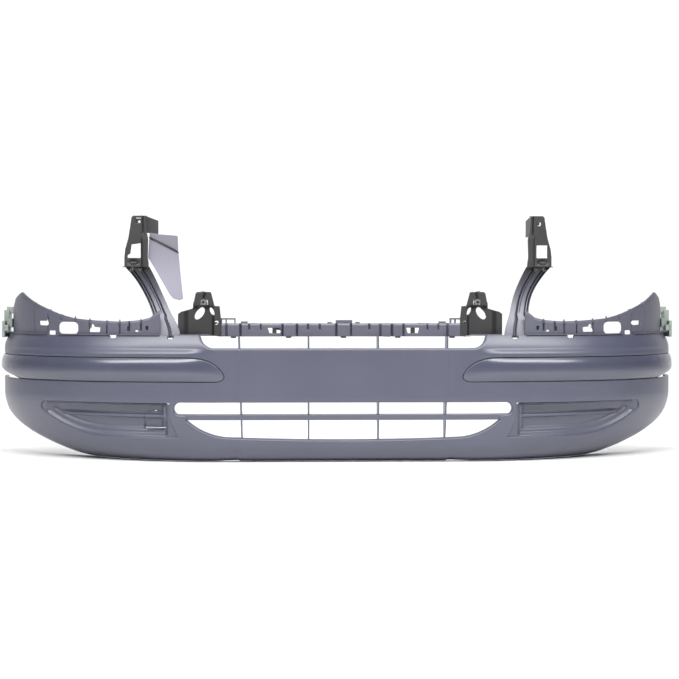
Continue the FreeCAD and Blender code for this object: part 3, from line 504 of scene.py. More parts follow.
def column_list(low, high, spacing):
    """Plan parameters about a given distance apart."""
    grid = np.linspace(low, high, 2000)
    x, y = plan(grid, 0.0)
    run = np.concatenate([[0], np.cumsum(np.hypot(np.diff(x), np.diff(y)))])
    return np.interp(np.linspace(0, run[-1], int(run[-1] / spacing) + 1), run, grid)


def side_name(side):
    return "right" if side > 0 else "left"


def groove(value, middle, half):
    """1 in the middle of a narrow groove, 0 away from it."""
    return np.exp(-((value - middle) / half) ** 4)


# ---- face ----
def arch_room(points):
    """Distance from the wheel-arch edge, positive on the face's side."""
    rise = SKIN_TOP - ARCH_HEIGHT
    centre_y = FRONT + CORNER_DEPTH + math.sqrt(ARCH_RADIUS ** 2 - rise ** 2)
    return np.hypot(points[..., 1] - centre_y, points[..., 2] - ARCH_HEIGHT) - ARCH_RADIUS


def face_depth(x, z, look):
    """Relief of the face: shoulder ledge over the strips, number-plate panel standing proud."""
    ledge = smooth((z - 0.281) / 0.017) * look.ledge * smooth((np.abs(x) - 0.335) / 0.08)
    ledge *= smooth((0.945 - np.abs(x)) / 0.04)
    panel = look.panel_proud * smooth((np.abs(x) - FLAT_HALF) / 0.006) * smooth((0.345 - np.abs(x)) / 0.07)
    return ledge + panel


def make_face(look):
    strip = strip_outline()
    recess = recess_outline()
    grilles = [notch_outline(), slot_outline(), mouth_outline()]
    recesses = [recess, flipped(recess)]
    seam_gaps = [rectangle(*gap) for gap in SEAM_GAPS]

    def place(t, v):
        points = face(t, v, 0.0)
        return face(t, v, face_depth(points[..., 0], points[..., 2], look))

    def radius_of(points):
        x, z = points[..., 0], points[..., 2]
        near_grille = np.zeros(x.shape, bool)
        for outline in grilles:
            near_grille |= np.abs(inside_by(x, z, outline)) < look.grille_edge + 0.004
        near_recess = np.abs(inside_by(np.abs(x), z, recess)) < look.recess_edge + 0.003
        elsewhere = np.where(near_recess, look.recess_edge, look.seam_edge)
        return np.where(near_grille, look.grille_edge, elsewhere)

    def room(points):
        x, z = points[..., 0], points[..., 2]
        space = np.minimum(SKIN_TOP - z, arch_room(points)) - look.seam_edge
        for outline in grilles:
            space = np.minimum(space, -inside_by(x, z, outline) - look.grille_edge)
        for outline in recesses:
            space = np.minimum(space, -inside_by(x, z, outline) - look.recess_edge)
        for outline in seam_gaps:
            space = np.minimum(space, -inside_by(np.abs(x), z, outline) - look.seam_edge)
        return np.minimum(space, -inside_by(np.abs(x), z, strip) - look.seam_edge - look.groove)

    v_rows = np.concatenate([np.linspace(0, CHIN_SHARE, 16)[:-1], np.linspace(CHIN_SHARE, 1.04, 116)])
    grids = (column_list(-1, 1, 0.003), v_rows)
    piece = sheet_piece("face_skin", "moulded_grey", grids, place, room, radius_of, 0.007, 0.0022)
    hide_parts("bumper_skin")


# ---- rub strips ----
def strip_grids(reach):
    columns = column_list(t_at(STRIP_INNER) - 0.010, STRIP_END_AT + 0.015, 0.003)
    t0 = t_at(0.6)
    rows = np.linspace(float(v_at(t0, STRIP_LOW)) - reach, float(v_at(t0, STRIP_HIGH)) + reach, 56)
    return columns, rows


def make_strip(side, look):
    outline = strip_outline()
    end_y = float(plan(np.array(STRIP_END_AT), 0.0)[1])

    def place_strip(t, v):
        z = section(t, v)[1]
        across = np.clip((z - STRIP_LOW) / (STRIP_HIGH - STRIP_LOW), 0, 1)
        crown = 1 - np.abs(2 * across - 1) ** 2.6
        along = smooth((t - t_at(STRIP_INNER)) / 0.09) * smooth((STRIP_END_AT - t) / 0.03)
        return face(t, v, -look.strip_crown * crown * (0.35 + 0.65 * along))

    def place_seat(t, v):
        return face(t, v, 0.0062)

    def room_within(margin):
        def room(points):
            x, z = points[..., 0], points[..., 2]
            return np.minimum(inside_by(x, z, outline), end_y - points[..., 1]) + margin
        return room

    word = side_name(side)
    pieces = [sheet_piece(word + "_strip_moulding", "strip_grey", strip_grids(0.03), place_strip,
                          room_within(-look.strip_edge), look.strip_edge, 0.003),
              sheet_piece(word + "_strip_seat", "moulded_grey", strip_grids(0.05), place_seat,
                          room_within(0.007), 0.001, 0.001)]
    if side < 0:
        for piece in pieces:
            mirror_mesh(piece)
    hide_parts(word + "_rub_strip")


def mirror_mesh(piece):
    """Turns a right-hand piece into a left-hand one."""
    flip = np.array([-1, 1, 1])
    for point in piece.data.vertices:
        point.co = point.co * Vector(flip)
    piece.data.flip_normals()


# ---- fog-lamp blanks and the towing-eye cap ----
def blank_depth(t, v):
    w, z = section(t, v)
    x = np.abs(plan(t, w)[0])
    fields = []
    for shift in (0.0, 0.013):
        inside = smooth((x - RECESS_INNER - 0.002 - shift) / 0.012)
        inside *= smooth((RECESS_OUTER - x - shift) / 0.016)
        inside *= smooth((RECESS_TOP - z) / 0.010) * smooth((z - recess_floor(x) - shift) / 0.009)
        fields.append(inside)
    ridge = np.exp(-((z - BAR_LOW - BAR_TALL / 2) / 0.0055) ** 4) * smooth((0.770 - x) / 0.05)
    return LAP + 0.55 * INSERT_DEEP * fields[0] + fields[1] * (0.45 * INSERT_DEEP - RIDGE_OUT * ridge)


def place_blank(t, v):
    return face(t, v, blank_depth(t, v))


def make_blank(side, look):
    word = side_name(side)
    outline = recess_outline() if side > 0 else flipped(recess_outline())
    cap = cap_outline()

    def room(points):
        x, z = points[..., 0], points[..., 2]
        limit = RECESS_INNER - 0.006 - 0.030 * smooth((BAR_LOW + 0.004 - z) / 0.006)
        space = np.minimum(inside_by(x, z, outline) + 0.010, np.abs(x) - limit)
        if side < 0:
            space = np.minimum(space, -inside_by(x, z, cap) - look.cap_gap)
        return space

    ends = sorted((side * t_at(RECESS_INNER - 0.03), side * t_at(RECESS_OUTER + 0.03)))
    grids = (column_list(*ends, 0.0028), np.linspace(0.14, 0.50, 84))
    piece = sheet_piece(word + "_fog_blank", "moulded_grey", grids, place_blank, room, 0.0008, 0.003, 0.002)
    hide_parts(word + "_lower_insert")


def make_cap(look):
    cap = cap_outline()
    notch = ellipse(CAP_X + 0.002, CAP_LOW + 0.0445, 0.0032, 0.0022, 0)

    def room(points):
        x, z = points[..., 0], points[..., 2]
        return np.minimum(inside_by(x, z, cap), -inside_by(x, z, notch)) - 0.0008

    grids = (column_list(t_at(CAP_X - 0.04), t_at(CAP_X + 0.04), 0.0018), np.linspace(0.26, 0.46, 60))
    piece = sheet_piece("tow_cap_lid", "cap_grey", grids, place_blank, room, 0.0008, 0.001, 0.0012, "tow_cap")
    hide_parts("tow_eye_cap")
    t_cap = t_at(CAP_X)
    start = place_blank(np.array(t_cap), np.array(float(v_at(t_cap, CAP_LOW + 0.02))))[1]
    grow = 1.06
    turned = -0.195
    rings = []
    for x, z in np.vstack([cap, cap[:1]]):
        wide = CAP_X + (x - CAP_X) * grow
        tall = CAP_LOW - 0.001 + (z - CAP_LOW) * grow
        depth = start + (wide - CAP_X) * turned
        rings.append([(wide, depth + 0.004, tall), (wide, depth + 0.026, tall)])
    points = np.array(rings).reshape(-1, 3)
    quads = [[2 * i, 2 * i + 1, 2 * i + 3, 2 * i + 2] for i in range(len(rings) - 1)]
    collar = make_object("tow_eye_collar", points, quads, "moulded_grey")
    solid = collar.modifiers.new("Wall", "SOLIDIFY")
    solid.thickness = 0.0018


# ---- rail, blocks and short brackets ----
def make_rail():
    def depth(x, z):
        cut = np.zeros(x.shape)
        for middle in RAIL_RIBS:
            cut = np.maximum(cut, groove(x, middle, 0.0022))
        for middle in RAIL_SHORT_RIBS:
            cut = np.maximum(cut, groove(x, middle, 0.0018) * smooth((z - 0.344) / 0.003))
        steps = np.zeros(x.shape)
        for start, end in RAIL_STEPS:
            steps += smooth((x - start) / 0.003) * smooth((end - x) / 0.003)
        lip = smooth((z - 0.357) / 0.004) * 0.002
        return 0.046 + 0.007 * cut - 0.004 * steps + lip

    holes = [np.array([(x - 0.018, 0.350), (x - 0.014, 0.336), (x + 0.014, 0.336), (x + 0.018, 0.350)])
             for x in RAIL_CLIPS]
    outline = rectangle(-0.3185, RAIL_HALF, 0.3275, 0.362)
    piece = plate_piece("rail_channel", "structure_grey", outline, depth, holes, 0.0018, 0.0012, 0.024)
    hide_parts("centre_rail")
    blocks = [(x - 0.006, x + 0.005, 0.048, 0.062, 0.335, 0.352) for x in RAIL_CLIPS]
    block_piece("rail_clips", "clip_black", blocks)
    blocks = [(x - 0.007, x + 0.007, 0.047, 0.060, 0.3235, 0.329) for x in RAIL_TABS]
    blocks += [(x - w / 2, x + w / 2, 0.048, 0.062, 0.361, top) for x, w, top in RAIL_BUMPS]
    for x0, x1 in ((-0.319, -0.281), (0.281, 0.319)):
        blocks += [(x0, x1, 0.046, 0.076, 0.3715, 0.3755), (x0, x0 + 0.003, 0.046, 0.076, 0.362, 0.374),
                   (x1 - 0.003, x1, 0.046, 0.076, 0.362, 0.374),
                   (x0 + 0.012, x0 + 0.015, 0.050, 0.074, 0.362, 0.374)]
    block_piece("rail_fittings", "structure_grey", blocks)


def make_block(side):
    word = side_name(side)

    def own(outline):
        outline = np.array(outline)
        return flipped(outline, GRILLE_SWAY) if side > 0 else outline

    def depth(x, z):
        left_x = np.where(side > 0, -x - 2 * GRILLE_SWAY, x)
        sunk = smooth((-0.336 - left_x) / 0.006) * smooth((0.409 - z) / 0.008)
        crease = groove(left_x, -0.372 + (z - 0.40) * 0.3, 0.003) * smooth((z - 0.405) / 0.01)
        return 0.042 + 0.014 * sunk + 0.006 * crease + 0.012 * smooth((-0.40 - left_x) / 0.02)

    wall = [(-0.432, 0.329), (-0.3187, 0.329), (-0.3187, 0.3748), (-0.3221, 0.4066), (-0.3352, 0.4076),
            (-0.3444, 0.4425), (-0.348, 0.4439), (-0.380, 0.4439), (-0.3843, 0.4405), (-0.3924, 0.4006),
            (-0.424, 0.392), (-0.432, 0.386)]
    holes = [rectangle(-0.3633, -0.3525, 0.411, 0.4229), ellipse(-0.3745, 0.3872, 0.018, 0.0095, 52),
             ellipse(-0.342, 0.3924, 0.011, 0.0048, -62), ellipse(-0.3305, 0.3635, 0.006, 0.005, 40)]
    piece = plate_piece(word + "_block_wall", "bracket_black", own(wall), depth, [own(h) for h in holes],
                        0.002, 0.001, 0.010)
    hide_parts(word + "_grille_bracket", word + "_shoulder_block")
    xs = own([(-0.3315, 0), (-0.3185, 0)])[:, 0]
    near, far = own([(-0.430, 0), (-0.345, 0)])[:, 0]
    blocks = [(min(xs), max(xs), 0.043, 0.075, 0.329, 0.354),
              (min(near, far), max(near, far), 0.050, 0.100, 0.329, 0.333)]
    block_piece(word + "_block_post", "structure_grey", blocks)


# ---- arms, their brackets and the intake panel ----
def sway_at(z):
    return ARM_SWAY * smooth((z - RAIL_LOW) / SWAY_TALL)


def make_arm(side):
    word = side_name(side)

    def place(a, rise):
        share = np.clip(a if side < 0 else 1 - a, -0.1, 1.1)
        up = np.clip(rise, 0, 1)
        z = RAIL_LOW + ARM_TALL * rise
        flare = 0.012 * smooth((0.31 - rise) / 0.08)
        outer = ARM_FOOT + ARM_SPLAY * up ** 2.4 + flare
        foot = BLOCK_OUTER + 0.026 + 0.012 * smooth(up / 0.4)
        inner = foot + (ARM_FOOT + ARM_SPLAY - ARM_TIP - BLOCK_OUTER - 0.038) * up ** 1.6
        x = outer + (inner - outer) * share
        cut = 0.012 * groove(share, 0.07, 0.032) + 0.012 * groove(share, 0.23, 0.035)
        cut += 0.014 * groove(share, 0.66, 0.035) + 0.010 * smooth((share - 0.68) / 0.05)
        cut += 0.003 * groove(share, 0.52, 0.02) * smooth((up - 0.3) / 0.1)
        depth = ARM_SET - 0.050 * (1 - up) ** 2.2 + cut - 0.004
        return np.stack([side * x - sway_at(z), FRONT + depth, z], axis=-1)

    def room(points):
        return np.full(points.shape[:-1], 1.0)

    grids = (np.linspace(0, 1, 64), np.linspace(0, 1, 72))
    piece = sheet_piece(word + "_arm_web", "structure_grey", grids, place, room, 0.001, 0.009, 0.002)
    piece.data.materials[0] = bpy.data.materials["arm_fade"]
    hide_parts(word + "_arm")


def make_hook(side):
    word = side_name(side)

    def own(outline):
        outline = np.array(outline)
        return flipped(outline, ARM_SWAY) if side > 0 else outline

    def depth(x, z):
        left_x = np.where(side > 0, -x - 2 * ARM_SWAY, x)
        fold = smooth((left_x + 0.529) / 0.003) * smooth((0.598 - z) / 0.02)
        pocket = groove(left_x, -0.550, 0.012) * groove(z, 0.523, 0.006)
        seam = groove(left_x, -0.5245, 0.0018) * smooth((z - 0.59) / 0.01)
        return HOOK_SET - 0.012 + 0.006 * fold + 0.008 * pocket + 0.004 * seam

    outline = [(-0.5735, 0.5095), (-0.5105, 0.509), (-0.5105, 0.519), (-0.5129, 0.5355), (-0.5118, 0.5808),
               (-0.5165, 0.612), (-0.5185, 0.640), (-0.5225, 0.6445), (-0.5505, 0.6445), (-0.5546, 0.640),
               (-0.558, 0.616), (-0.5629, 0.5855), (-0.571, 0.557), (-0.5735, 0.5355)]
    if side < 0:
        window = [(-0.5546, 0.5688), (-0.5307, 0.572), (-0.5307, 0.5331), (-0.5652, 0.5335),
                  (-0.5652, 0.5403), (-0.558, 0.545)]
        hole = rectangle(-0.5426, -0.5296, 0.6246, 0.639)
    else:
        window = rectangle(-0.5625, -0.5335, 0.5331, 0.5670)
        hole = ellipse(-0.5405, 0.6235, 0.0058, 0.0058, 0)
    piece = plate_piece(word + "_hook", "bracket_black", own(outline), depth, [own(window), own(hole)],
                        0.002, 0.001, 0.008)
    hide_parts(word + "_arm_bracket")

    def slab(near, far, near_heights, far_heights):
        """Corners of an upright sheet from near to far, each given as place and depth."""
        points = []
        for level in (0, 1):
            for out in (0.0, 0.003):
                for (x, depth_at), heights in ((near, near_heights), (far, far_heights)):
                    own_x = x if side < 0 else -x - 2 * ARM_SWAY
                    points.append((own_x, depth_at + out, heights[level]))
        return points

    if side < 0:
        cheek = slab((-0.5195, 0.096), (-0.489, 0.160), (0.600, 0.6445), (0.597, 0.634))
    else:
        cheek = slab((-0.5195, 0.096), (-0.514, 0.160), (0.590, 0.6445), (0.590, 0.634))
    block_piece(word + "_hook_cheek", "bracket_black", [cheek], 0.0006)


def make_intake_panel():
    outline = [(-0.5085, 0.600), (-0.485, 0.5965), (-0.4347, 0.5925), (-0.4331, 0.5507), (-0.4206, 0.4257),
               (-0.4294, 0.4217), (-0.4454, 0.4257), (-0.455, 0.436), (-0.496, 0.508), (-0.5124, 0.5348)]

    def depth(x, z):
        edge = PANEL_RIB_Z - PANEL_RIB_FALL * (x - PANEL_RIB_X)
        return ARM_SET + 0.008 + 0.004 * smooth((z - edge) / 0.004) - 0.005 * groove(z, edge, 0.0028)

    piece = plate_piece("intake_panel", "panel_pale", outline, depth, (), 0.0025, 0.001, 0.003)
    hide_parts("intake_side_panel")


# ---- headlight shelves ----
def make_shelf(side):
    word = side_name(side)
    edge_t, edge_z = np.array(SHELF_EDGE).T
    base = SKIN_TOP - 0.005

    def place(a, rise):
        t = np.abs(a)
        top = np.interp(t, edge_t, edge_z)
        z = base + (top - base) * rise
        cut = np.zeros(a.shape)
        for middle, low in SHELF_RIBS:
            cut = np.maximum(cut, groove(t, middle, 0.0011) * smooth((z - low) / 0.004))
        fold = smooth((rise - 0.90) / 0.08) * 0.002
        x, y = plan(a, SHELF_SET - 0.002 + 0.008 * cut + fold)
        return np.stack([x, y, z], axis=-1)

    holes = [flipped(h) if side > 0 else np.array(h) for h in SHELF_HOLES]
    gaps = [rectangle(*gap) for gap in SEAM_GAPS]

    def room(points):
        x, z = points[..., 0], points[..., 2]
        space = np.full(x.shape, 1.0)
        for hole in holes:
            space = np.minimum(space, -inside_by(x, z, hole))
        for gap in gaps:
            space = np.minimum(space, -inside_by(np.abs(x), z, gap))
        return space - 0.0008

    ends = sorted((side * SHELF_EDGE[0][0], side * SHELF_EDGE[-1][0]))
    grids = (column_list(*ends, 0.0022), np.linspace(0, 1, 34))
    piece = sheet_piece(word + "_headlight_wall", "structure_grey", grids, place, room, 0.0008, 0.003, 0.0018)
    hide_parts(word + "_headlight_shelf")
    rings = []
    for t in column_list(*ends, 0.01):
        corners = [(0.0165, SKIN_TOP + 0.0014), (0.030, SKIN_TOP + 0.0014), (0.030, SKIN_TOP - 0.0012),
                   (0.0165, SKIN_TOP - 0.0012)]
        rings.append([(*[float(c) for c in plan(np.array(t), inset)], z) for inset, z in corners])
    rings = [ring for ring in rings if all(not low - 0.004 < abs(ring[0][0]) < high + 0.004
                                           for low, high, _, _ in SEAM_GAPS[:1])]
    outer = [ring for ring in rings if abs(ring[0][0]) > SEAM_GAPS[0][1]]
    inner = [ring for ring in rings if abs(ring[0][0]) < SEAM_GAPS[0][0]]
    for part, group in (("outer", outer), ("inner", inner)):
        sweep_piece(word + "_seam_flange_" + part, "structure_grey", group)
    tips = []
    for t, top in SHELF_TIPS:
        x, y = plan(np.array(side * t), SHELF_SET)
        x, depth = float(x), float(y) - FRONT
        tips.append((x - 0.0015, x + 0.0015, depth - 0.004, depth + 0.004, top - 0.012, top))
    block_piece(word + "_shelf_tips", "structure_grey", tips, 0.0005)
    # near-black blocks behind the windows: painted shade inside them
    backs = []
    for x0, x1, z0, z1 in SHELF_DARK:
        y = float(plan(np.array(t_at((x0 + x1) / 2)), SHELF_SET)[1]) - FRONT
        xs = (x0, x1) if side < 0 else (-x1, -x0)
        backs.append((xs[0] - 0.002, xs[1] + 0.002, y + 0.006, y + 0.009, z0 - 0.002, z1 + 0.002))
    block_piece(word + "_window_shade_blocks", "clip_black", backs)


def make_seam_screws():
    blocks = []
    for x in SEAM_SCREWS:
        y = float(plan(np.array(t_at(x)), 0.0)[1]) - FRONT
        for at in (x, -x):
            blocks.append((at - 0.004, at + 0.004, y + 0.030, y + 0.034, 0.315, 0.323))
    piece = block_piece("seam_screw_heads", "fastener_steel", blocks)
    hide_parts("seam_screws")


def make_retainer(side):
    word = side_name(side)
    blocks = []
    for x0, x1, d0, d1, z0, z1 in RETAINER_BLOCKS:
        near, far = sorted((side * x0, side * x1))
        blocks.append((near, far, d0, d1, z0, z1))
    piece = block_piece(word + "_wing_retainer", "retainer_green_grey", blocks, 0.0012)
    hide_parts(word + "_end_retainer")


# ---- materials ----
class Wire:
    """Output of a shader node; arithmetic on it adds Math nodes."""

    def __init__(self, graph, socket):
        self.graph = graph
        self.socket = socket

    def combine(self, operation, first, second):
        return self.graph.node("ShaderNodeMath", {"operation": operation}, {0: first, 1: second})

    def __add__(self, other):
        return self.combine("ADD", self, other)

    def __radd__(self, other):
        return self.combine("ADD", other, self)

    def __sub__(self, other):
        return self.combine("SUBTRACT", self, other)

    def __rsub__(self, other):
        return self.combine("SUBTRACT", other, self)

    def __mul__(self, other):
        return self.combine("MULTIPLY", self, other)

    def __rmul__(self, other):
        return self.combine("MULTIPLY", other, self)

    def __truediv__(self, other):
        return self.combine("DIVIDE", self, other)


class Graph:
    """Node tree of one material."""

    def __init__(self, name):
        plain = bpy.data.materials.get(name)
        if plain:
            plain.name = name + "_plain"
        self.material = bpy.data.materials.new(name)
        self.material.use_nodes = True
        self.tree = self.material.node_tree
        self.shader = self.tree.nodes["Principled BSDF"]
        self.shader.inputs["Specular IOR Level"].default_value = 0.8

    def feed(self, socket, value):
        if isinstance(value, Wire):
            self.tree.links.new(value.socket, socket)
        else:
            socket.default_value = value

    def node(self, kind, settings, inputs, output=0):
        made = self.tree.nodes.new(kind)
        for key, value in settings.items():
            setattr(made, key, value)
        for key, value in inputs.items():
            self.feed(made.inputs[key], value)
        return Wire(self, made.outputs[output])

    def noise(self, place, scale, detail=3.0):
        return self.node("ShaderNodeTexNoise", {}, {"Vector": place, "Scale": scale, "Detail": detail}, "Fac")

    def mix(self, factor, first, second):
        settings = {"data_type": "RGBA"}
        return self.node("ShaderNodeMix", settings, {"Factor": factor, 6: first, 7: second}, 2)

    def ramp(self, value, low, high):
        """0 at low and 1 at high, clamped."""
        inputs = {"Value": value, "From Min": low, "From Max": high}
        return self.node("ShaderNodeMapRange", {"interpolation_type": "SMOOTHSTEP"}, inputs)

    def position(self):
        return self.node("ShaderNodeTexCoord", {}, {}, "Object")

    def parts(self, place):
        split = self.tree.nodes.new("ShaderNodeSeparateXYZ")
        self.feed(split.inputs[0], place)
        return [Wire(self, socket) for socket in split.outputs]

    def finish(self, colour, roughness, bump, strength, distance):
        normal = self.node("ShaderNodeBump", {}, {"Height": bump, "Strength": strength, "Distance": distance})
        self.feed(self.shader.inputs["Base Color"], colour)
        self.feed(self.shader.inputs["Roughness"], roughness)
        self.feed(self.shader.inputs["Normal"], normal)


def shade(colour, gain):
    return (min(colour[0] * gain, 1.0), min(colour[1] * gain, 1.0), min(colour[2] * gain, 1.0), 1.0)


def make_plastic(name, colour, roughness, mottle=0.10, metallic=0.0):
    """Moulded plastic: faint clouding, uneven sheen and a fine grain."""
    graph = Graph(name)
    place = graph.position()
    cloud = graph.noise(place, 7.0)
    grain = graph.noise(place, 700.0, 2.0)
    tint = graph.mix(cloud, shade(colour, 1 - mottle), shade(colour, 1 + mottle))
    graph.finish(tint, roughness + (cloud - 0.5) * 0.12, grain, 0.2, 0.00004)
    graph.shader.inputs["Metallic"].default_value = metallic


def make_arm_fade(low, high, roughness):
    """The arms' plastic, darkening towards their tips."""
    graph = Graph("arm_fade")
    place = graph.position()
    height = graph.parts(place)[2]
    streaks = graph.noise(place, 60.0)
    up = graph.ramp(height + (streaks - 0.5) * 0.03, 0.40, 0.53)
    graph.finish(graph.mix(up, shade(low, 1), shade(high, 1)), roughness, streaks, 0.3, 0.0004)


def make_panel_pale(colour, dark, roughness):
    """The intake panel: pale, with a painted reflection that makes it lighter towards the bottom and greyer
    towards the top and above its slanting rib; the rib itself dark.
    """
    graph = Graph("panel_pale")
    place = graph.position()
    x, _, z = graph.parts(place)
    over = z - PANEL_RIB_Z + (x - PANEL_RIB_X) * PANEL_RIB_FALL
    # painted reflection: the panel greyer above its rib and towards the top, lighter towards the bottom
    above = graph.ramp(over, 0.001, 0.004)
    rise = graph.ramp(z, 0.44, 0.58)
    pale = graph.mix(rise, shade(colour, 1.08), shade(colour, 0.72))
    pale = graph.mix(above, pale, shade(colour, 0.62))
    rib = graph.ramp(over * over, 0.000018, 0.000006)
    cloud = graph.noise(place, 12.0)
    graph.finish(graph.mix(rib, pale, shade(dark, 1)), roughness + (cloud - 0.5) * 0.1, cloud, 0.1, 0.0005)


def make_materials(look):
    make_plastic("moulded_grey", look.plastic, look.roughness)
    make_plastic("strip_grey", look.strip, look.strip_roughness)
    make_plastic("cap_grey", look.plastic, look.roughness)
    make_plastic("structure_grey", look.structure, 0.42)
    make_plastic("bracket_black", look.dark, 0.48, 0.35)
    # near black: the rail clips, and the blocks that paint the shade inside the headlight walls' windows
    make_plastic("clip_black", shade(look.dark, 0.5)[:3], 0.5)
    make_plastic("retainer_green_grey", (0.26, 0.30, 0.27), 0.5, 0.3)
    make_plastic("fastener_steel", (0.45, 0.45, 0.47), 0.35, 0.1, 1.0)
    make_arm_fade(look.structure, look.dark, 0.34)
    make_panel_pale(look.pale, look.dark, 0.38)


# ---- studio ----
def aim(thing, target):
    thing.rotation_euler = (Vector(target) - thing.location).to_track_quat("-Z", "Y").to_euler()


def add_softbox(name, place, target, wide, tall, power):
    """Rectangular light turned towards a point."""
    light = bpy.data.lights.new(name, "AREA")
    light.shape = "RECTANGLE"
    light.size = wide
    light.size_y = tall
    light.energy = power
    lamp = bpy.data.objects.new(name, light)
    bpy.context.scene.collection.objects.link(lamp)
    lamp.location = place
    aim(lamp, target)


def make_backdrop():
    """Pale floor that curves up into a wall far behind the cover."""
    level = -0.001
    bend = 2.5
    radius = 1.5
    half = 9.0
    turns = np.linspace(0.1, math.pi / 2, 14)
    profile = [(-3.9, level), (bend, level)]
    profile += [(bend + radius * math.sin(a), level + radius * (1 - math.cos(a))) for a in turns]
    profile += [(bend + radius, 7.0)]
    points = [(x, y, z) for y, z in profile for x in (-half, half)]
    quads = [[2 * i, 2 * i + 1, 2 * i + 3, 2 * i + 2] for i in range(len(profile) - 1)]
    mesh = bpy.data.meshes.new("backdrop")
    mesh.from_pydata(points, [], quads)
    mesh.shade_smooth()
    graph = Graph("backdrop_white")
    cloud = graph.noise(graph.position(), 0.6)
    graph.finish(graph.mix(cloud, (0.90, 0.90, 0.90, 1), (0.93, 0.93, 0.93, 1)), 0.9, cloud, 0.0, 0.001)
    mesh.materials.append(graph.material)
    backdrop = bpy.data.objects.new("backdrop", mesh)
    bpy.context.scene.collection.objects.link(backdrop)


def make_studio(look):
    scene = bpy.context.scene
    camera = bpy.data.objects.new("camera", bpy.data.cameras.new("camera"))
    scene.collection.objects.link(camera)
    camera.location = (-look.camera_side, FRONT - look.camera_distance, look.camera_height)
    yaw = math.atan2(look.camera_side, look.camera_distance) - look.camera_pan
    camera.rotation_euler = Euler((math.pi / 2 - look.camera_tilt, 0, -yaw))
    camera.data.lens = look.camera_lens
    scene.camera = camera
    make_backdrop()
    world = bpy.data.worlds.new("studio")
    scene.world = world
    world.use_nodes = True
    background = world.node_tree.nodes["Background"]
    background.inputs["Color"].default_value = (1, 1, 1, 1)
    background.inputs["Strength"].default_value = look.ambient
    add_softbox("overhead", (0, -0.9, 2.7), (0, -0.1, 0.2), 4.6, 0.9, look.overhead)
    add_softbox("front", (0, -2.1, 2.2), (0, -0.2, 0.2), 6.5, 0.9, look.front)
    add_softbox("wall_wash", (0, 0.9, 4.6), (0, 4.0, 1.2), 7.0, 1.0, look.wash)
    scene.view_settings.view_transform = "Standard"


# ---- settings, operators and panel ----
def length(name, description, default):
    return FloatProperty(name=name, description=description, default=default, unit="LENGTH", precision=4)


def colour(name, description, default):
    return FloatVectorProperty(name=name, description=description, default=default, size=3, subtype="COLOR",
                               min=0, max=1)


def number(name, description, default):
    return FloatProperty(name=name, description=description, default=default)


class BumperLook(bpy.types.PropertyGroup):
    """Sizes, colours and lights that can be changed."""
    ledge: length("Shoulder ledge", "How far the face steps back above the rub strips", 0.007)
    panel_proud: length("Plate panel", "How far the number-plate panel stands proud", 0.002)
    groove: length("Strip groove", "Gap round the rub strips", 0.0012)
    grille_edge: length("Grille edge", "Rounding of the grille openings", 0.006)
    recess_edge: length("Recess edge", "Rounding of the fog-lamp recesses", 0.003)
    seam_edge: length("Seam edge", "Rounding of the other edges", 0.0012)
    strip_crown: length("Strip crown", "How far the rub strips bulge", 0.0085)
    strip_edge: length("Strip edge", "Rounding of the rub strips", 0.002)
    cap_gap: length("Cap gap", "Gap round the towing-eye cap", 0.0014)
    plastic: colour("Face", "Grey of the moulded face", (0.072, 0.075, 0.112))
    strip: colour("Strips", "Grey of the rub strips", (0.066, 0.069, 0.103))
    structure: colour("Structure", "Grey of the rail, arms and shelves", (0.085, 0.086, 0.118))
    dark: colour("Brackets", "Near black of the brackets", (0.012, 0.012, 0.013))
    pale: colour("Intake panel", "Pale plastic beside the arm", (0.28, 0.27, 0.33))
    roughness: number("Face roughness", "Roughness of the moulded face", 0.35)
    strip_roughness: number("Strip roughness", "Roughness of the rub strips", 0.22)
    camera_side: length("Camera side", "How far the camera stands to the left", 0.150)
    camera_distance: length("Camera distance", "Distance in front of the cover", 4.5)
    camera_height: length("Camera height", "Height of the camera", 0.431)
    camera_pan: number("Camera pan", "Turn to the left of the cover's middle, in radians", 0.0024)
    camera_tilt: number("Camera tilt", "Downward tilt in radians", 0.0245)
    camera_lens: number("Focal length", "Lens in millimetres", 92.3)
    overhead: number("Overhead light", "Power of the softbox above, in watts", 30.0)
    front: number("Front light", "Power of the long softbox in front, in watts", 185.0)
    wash: number("Backdrop light", "Power of the light on the backdrop, in watts", 170.0)
    ambient: number("Surroundings", "Brightness of the surroundings", 0.05)


class BuildStep:
    """What every operator here shares."""
    bl_options = {"REGISTER", "UNDO"}

    def execute(self, context):
        self.build(context.scene.bumper_look)
        return {"FINISHED"}


class BUMPER_OT_materials(BuildStep, bpy.types.Operator):
    """Make the plastics and metals and give them to the CAD pieces"""
    bl_idname = "bumper.materials"
    bl_label = "Materials"

    def build(self, look):
        make_materials(look)
        slots = {part["node"]: part["material_slot"] for part in frame["record"]["subparts"]}
        for name, node in frame["nodes"].items():
            node.data.materials.clear()
            node.data.materials.append(bpy.data.materials[slots[name]])


class BUMPER_OT_face(BuildStep, bpy.types.Operator):
    """Build the moulded face"""
    bl_idname = "bumper.face"
    bl_label = "Face"

    def build(self, look):
        make_face(look)


class BUMPER_OT_strips(BuildStep, bpy.types.Operator):
    """Build the rub strips and their seats"""
    bl_idname = "bumper.strips"
    bl_label = "Rub strips"

    def build(self, look):
        for side in (1, -1):
            make_strip(side, look)


class BUMPER_OT_blanks(BuildStep, bpy.types.Operator):
    """Build the fog-lamp blanks"""
    bl_idname = "bumper.blanks"
    bl_label = "Fog-lamp blanks"

    def build(self, look):
        for side in (1, -1):
            make_blank(side, look)


class BUMPER_OT_cap(BuildStep, bpy.types.Operator):
    """Build the towing-eye cap and its collar"""
    bl_idname = "bumper.cap"
    bl_label = "Towing-eye cap"

    def build(self, look):
        make_cap(look)


class BUMPER_OT_rail(BuildStep, bpy.types.Operator):
    """Build the rail over the upper intake"""
    bl_idname = "bumper.rail"
    bl_label = "Centre rail"

    def build(self, look):
        make_rail()


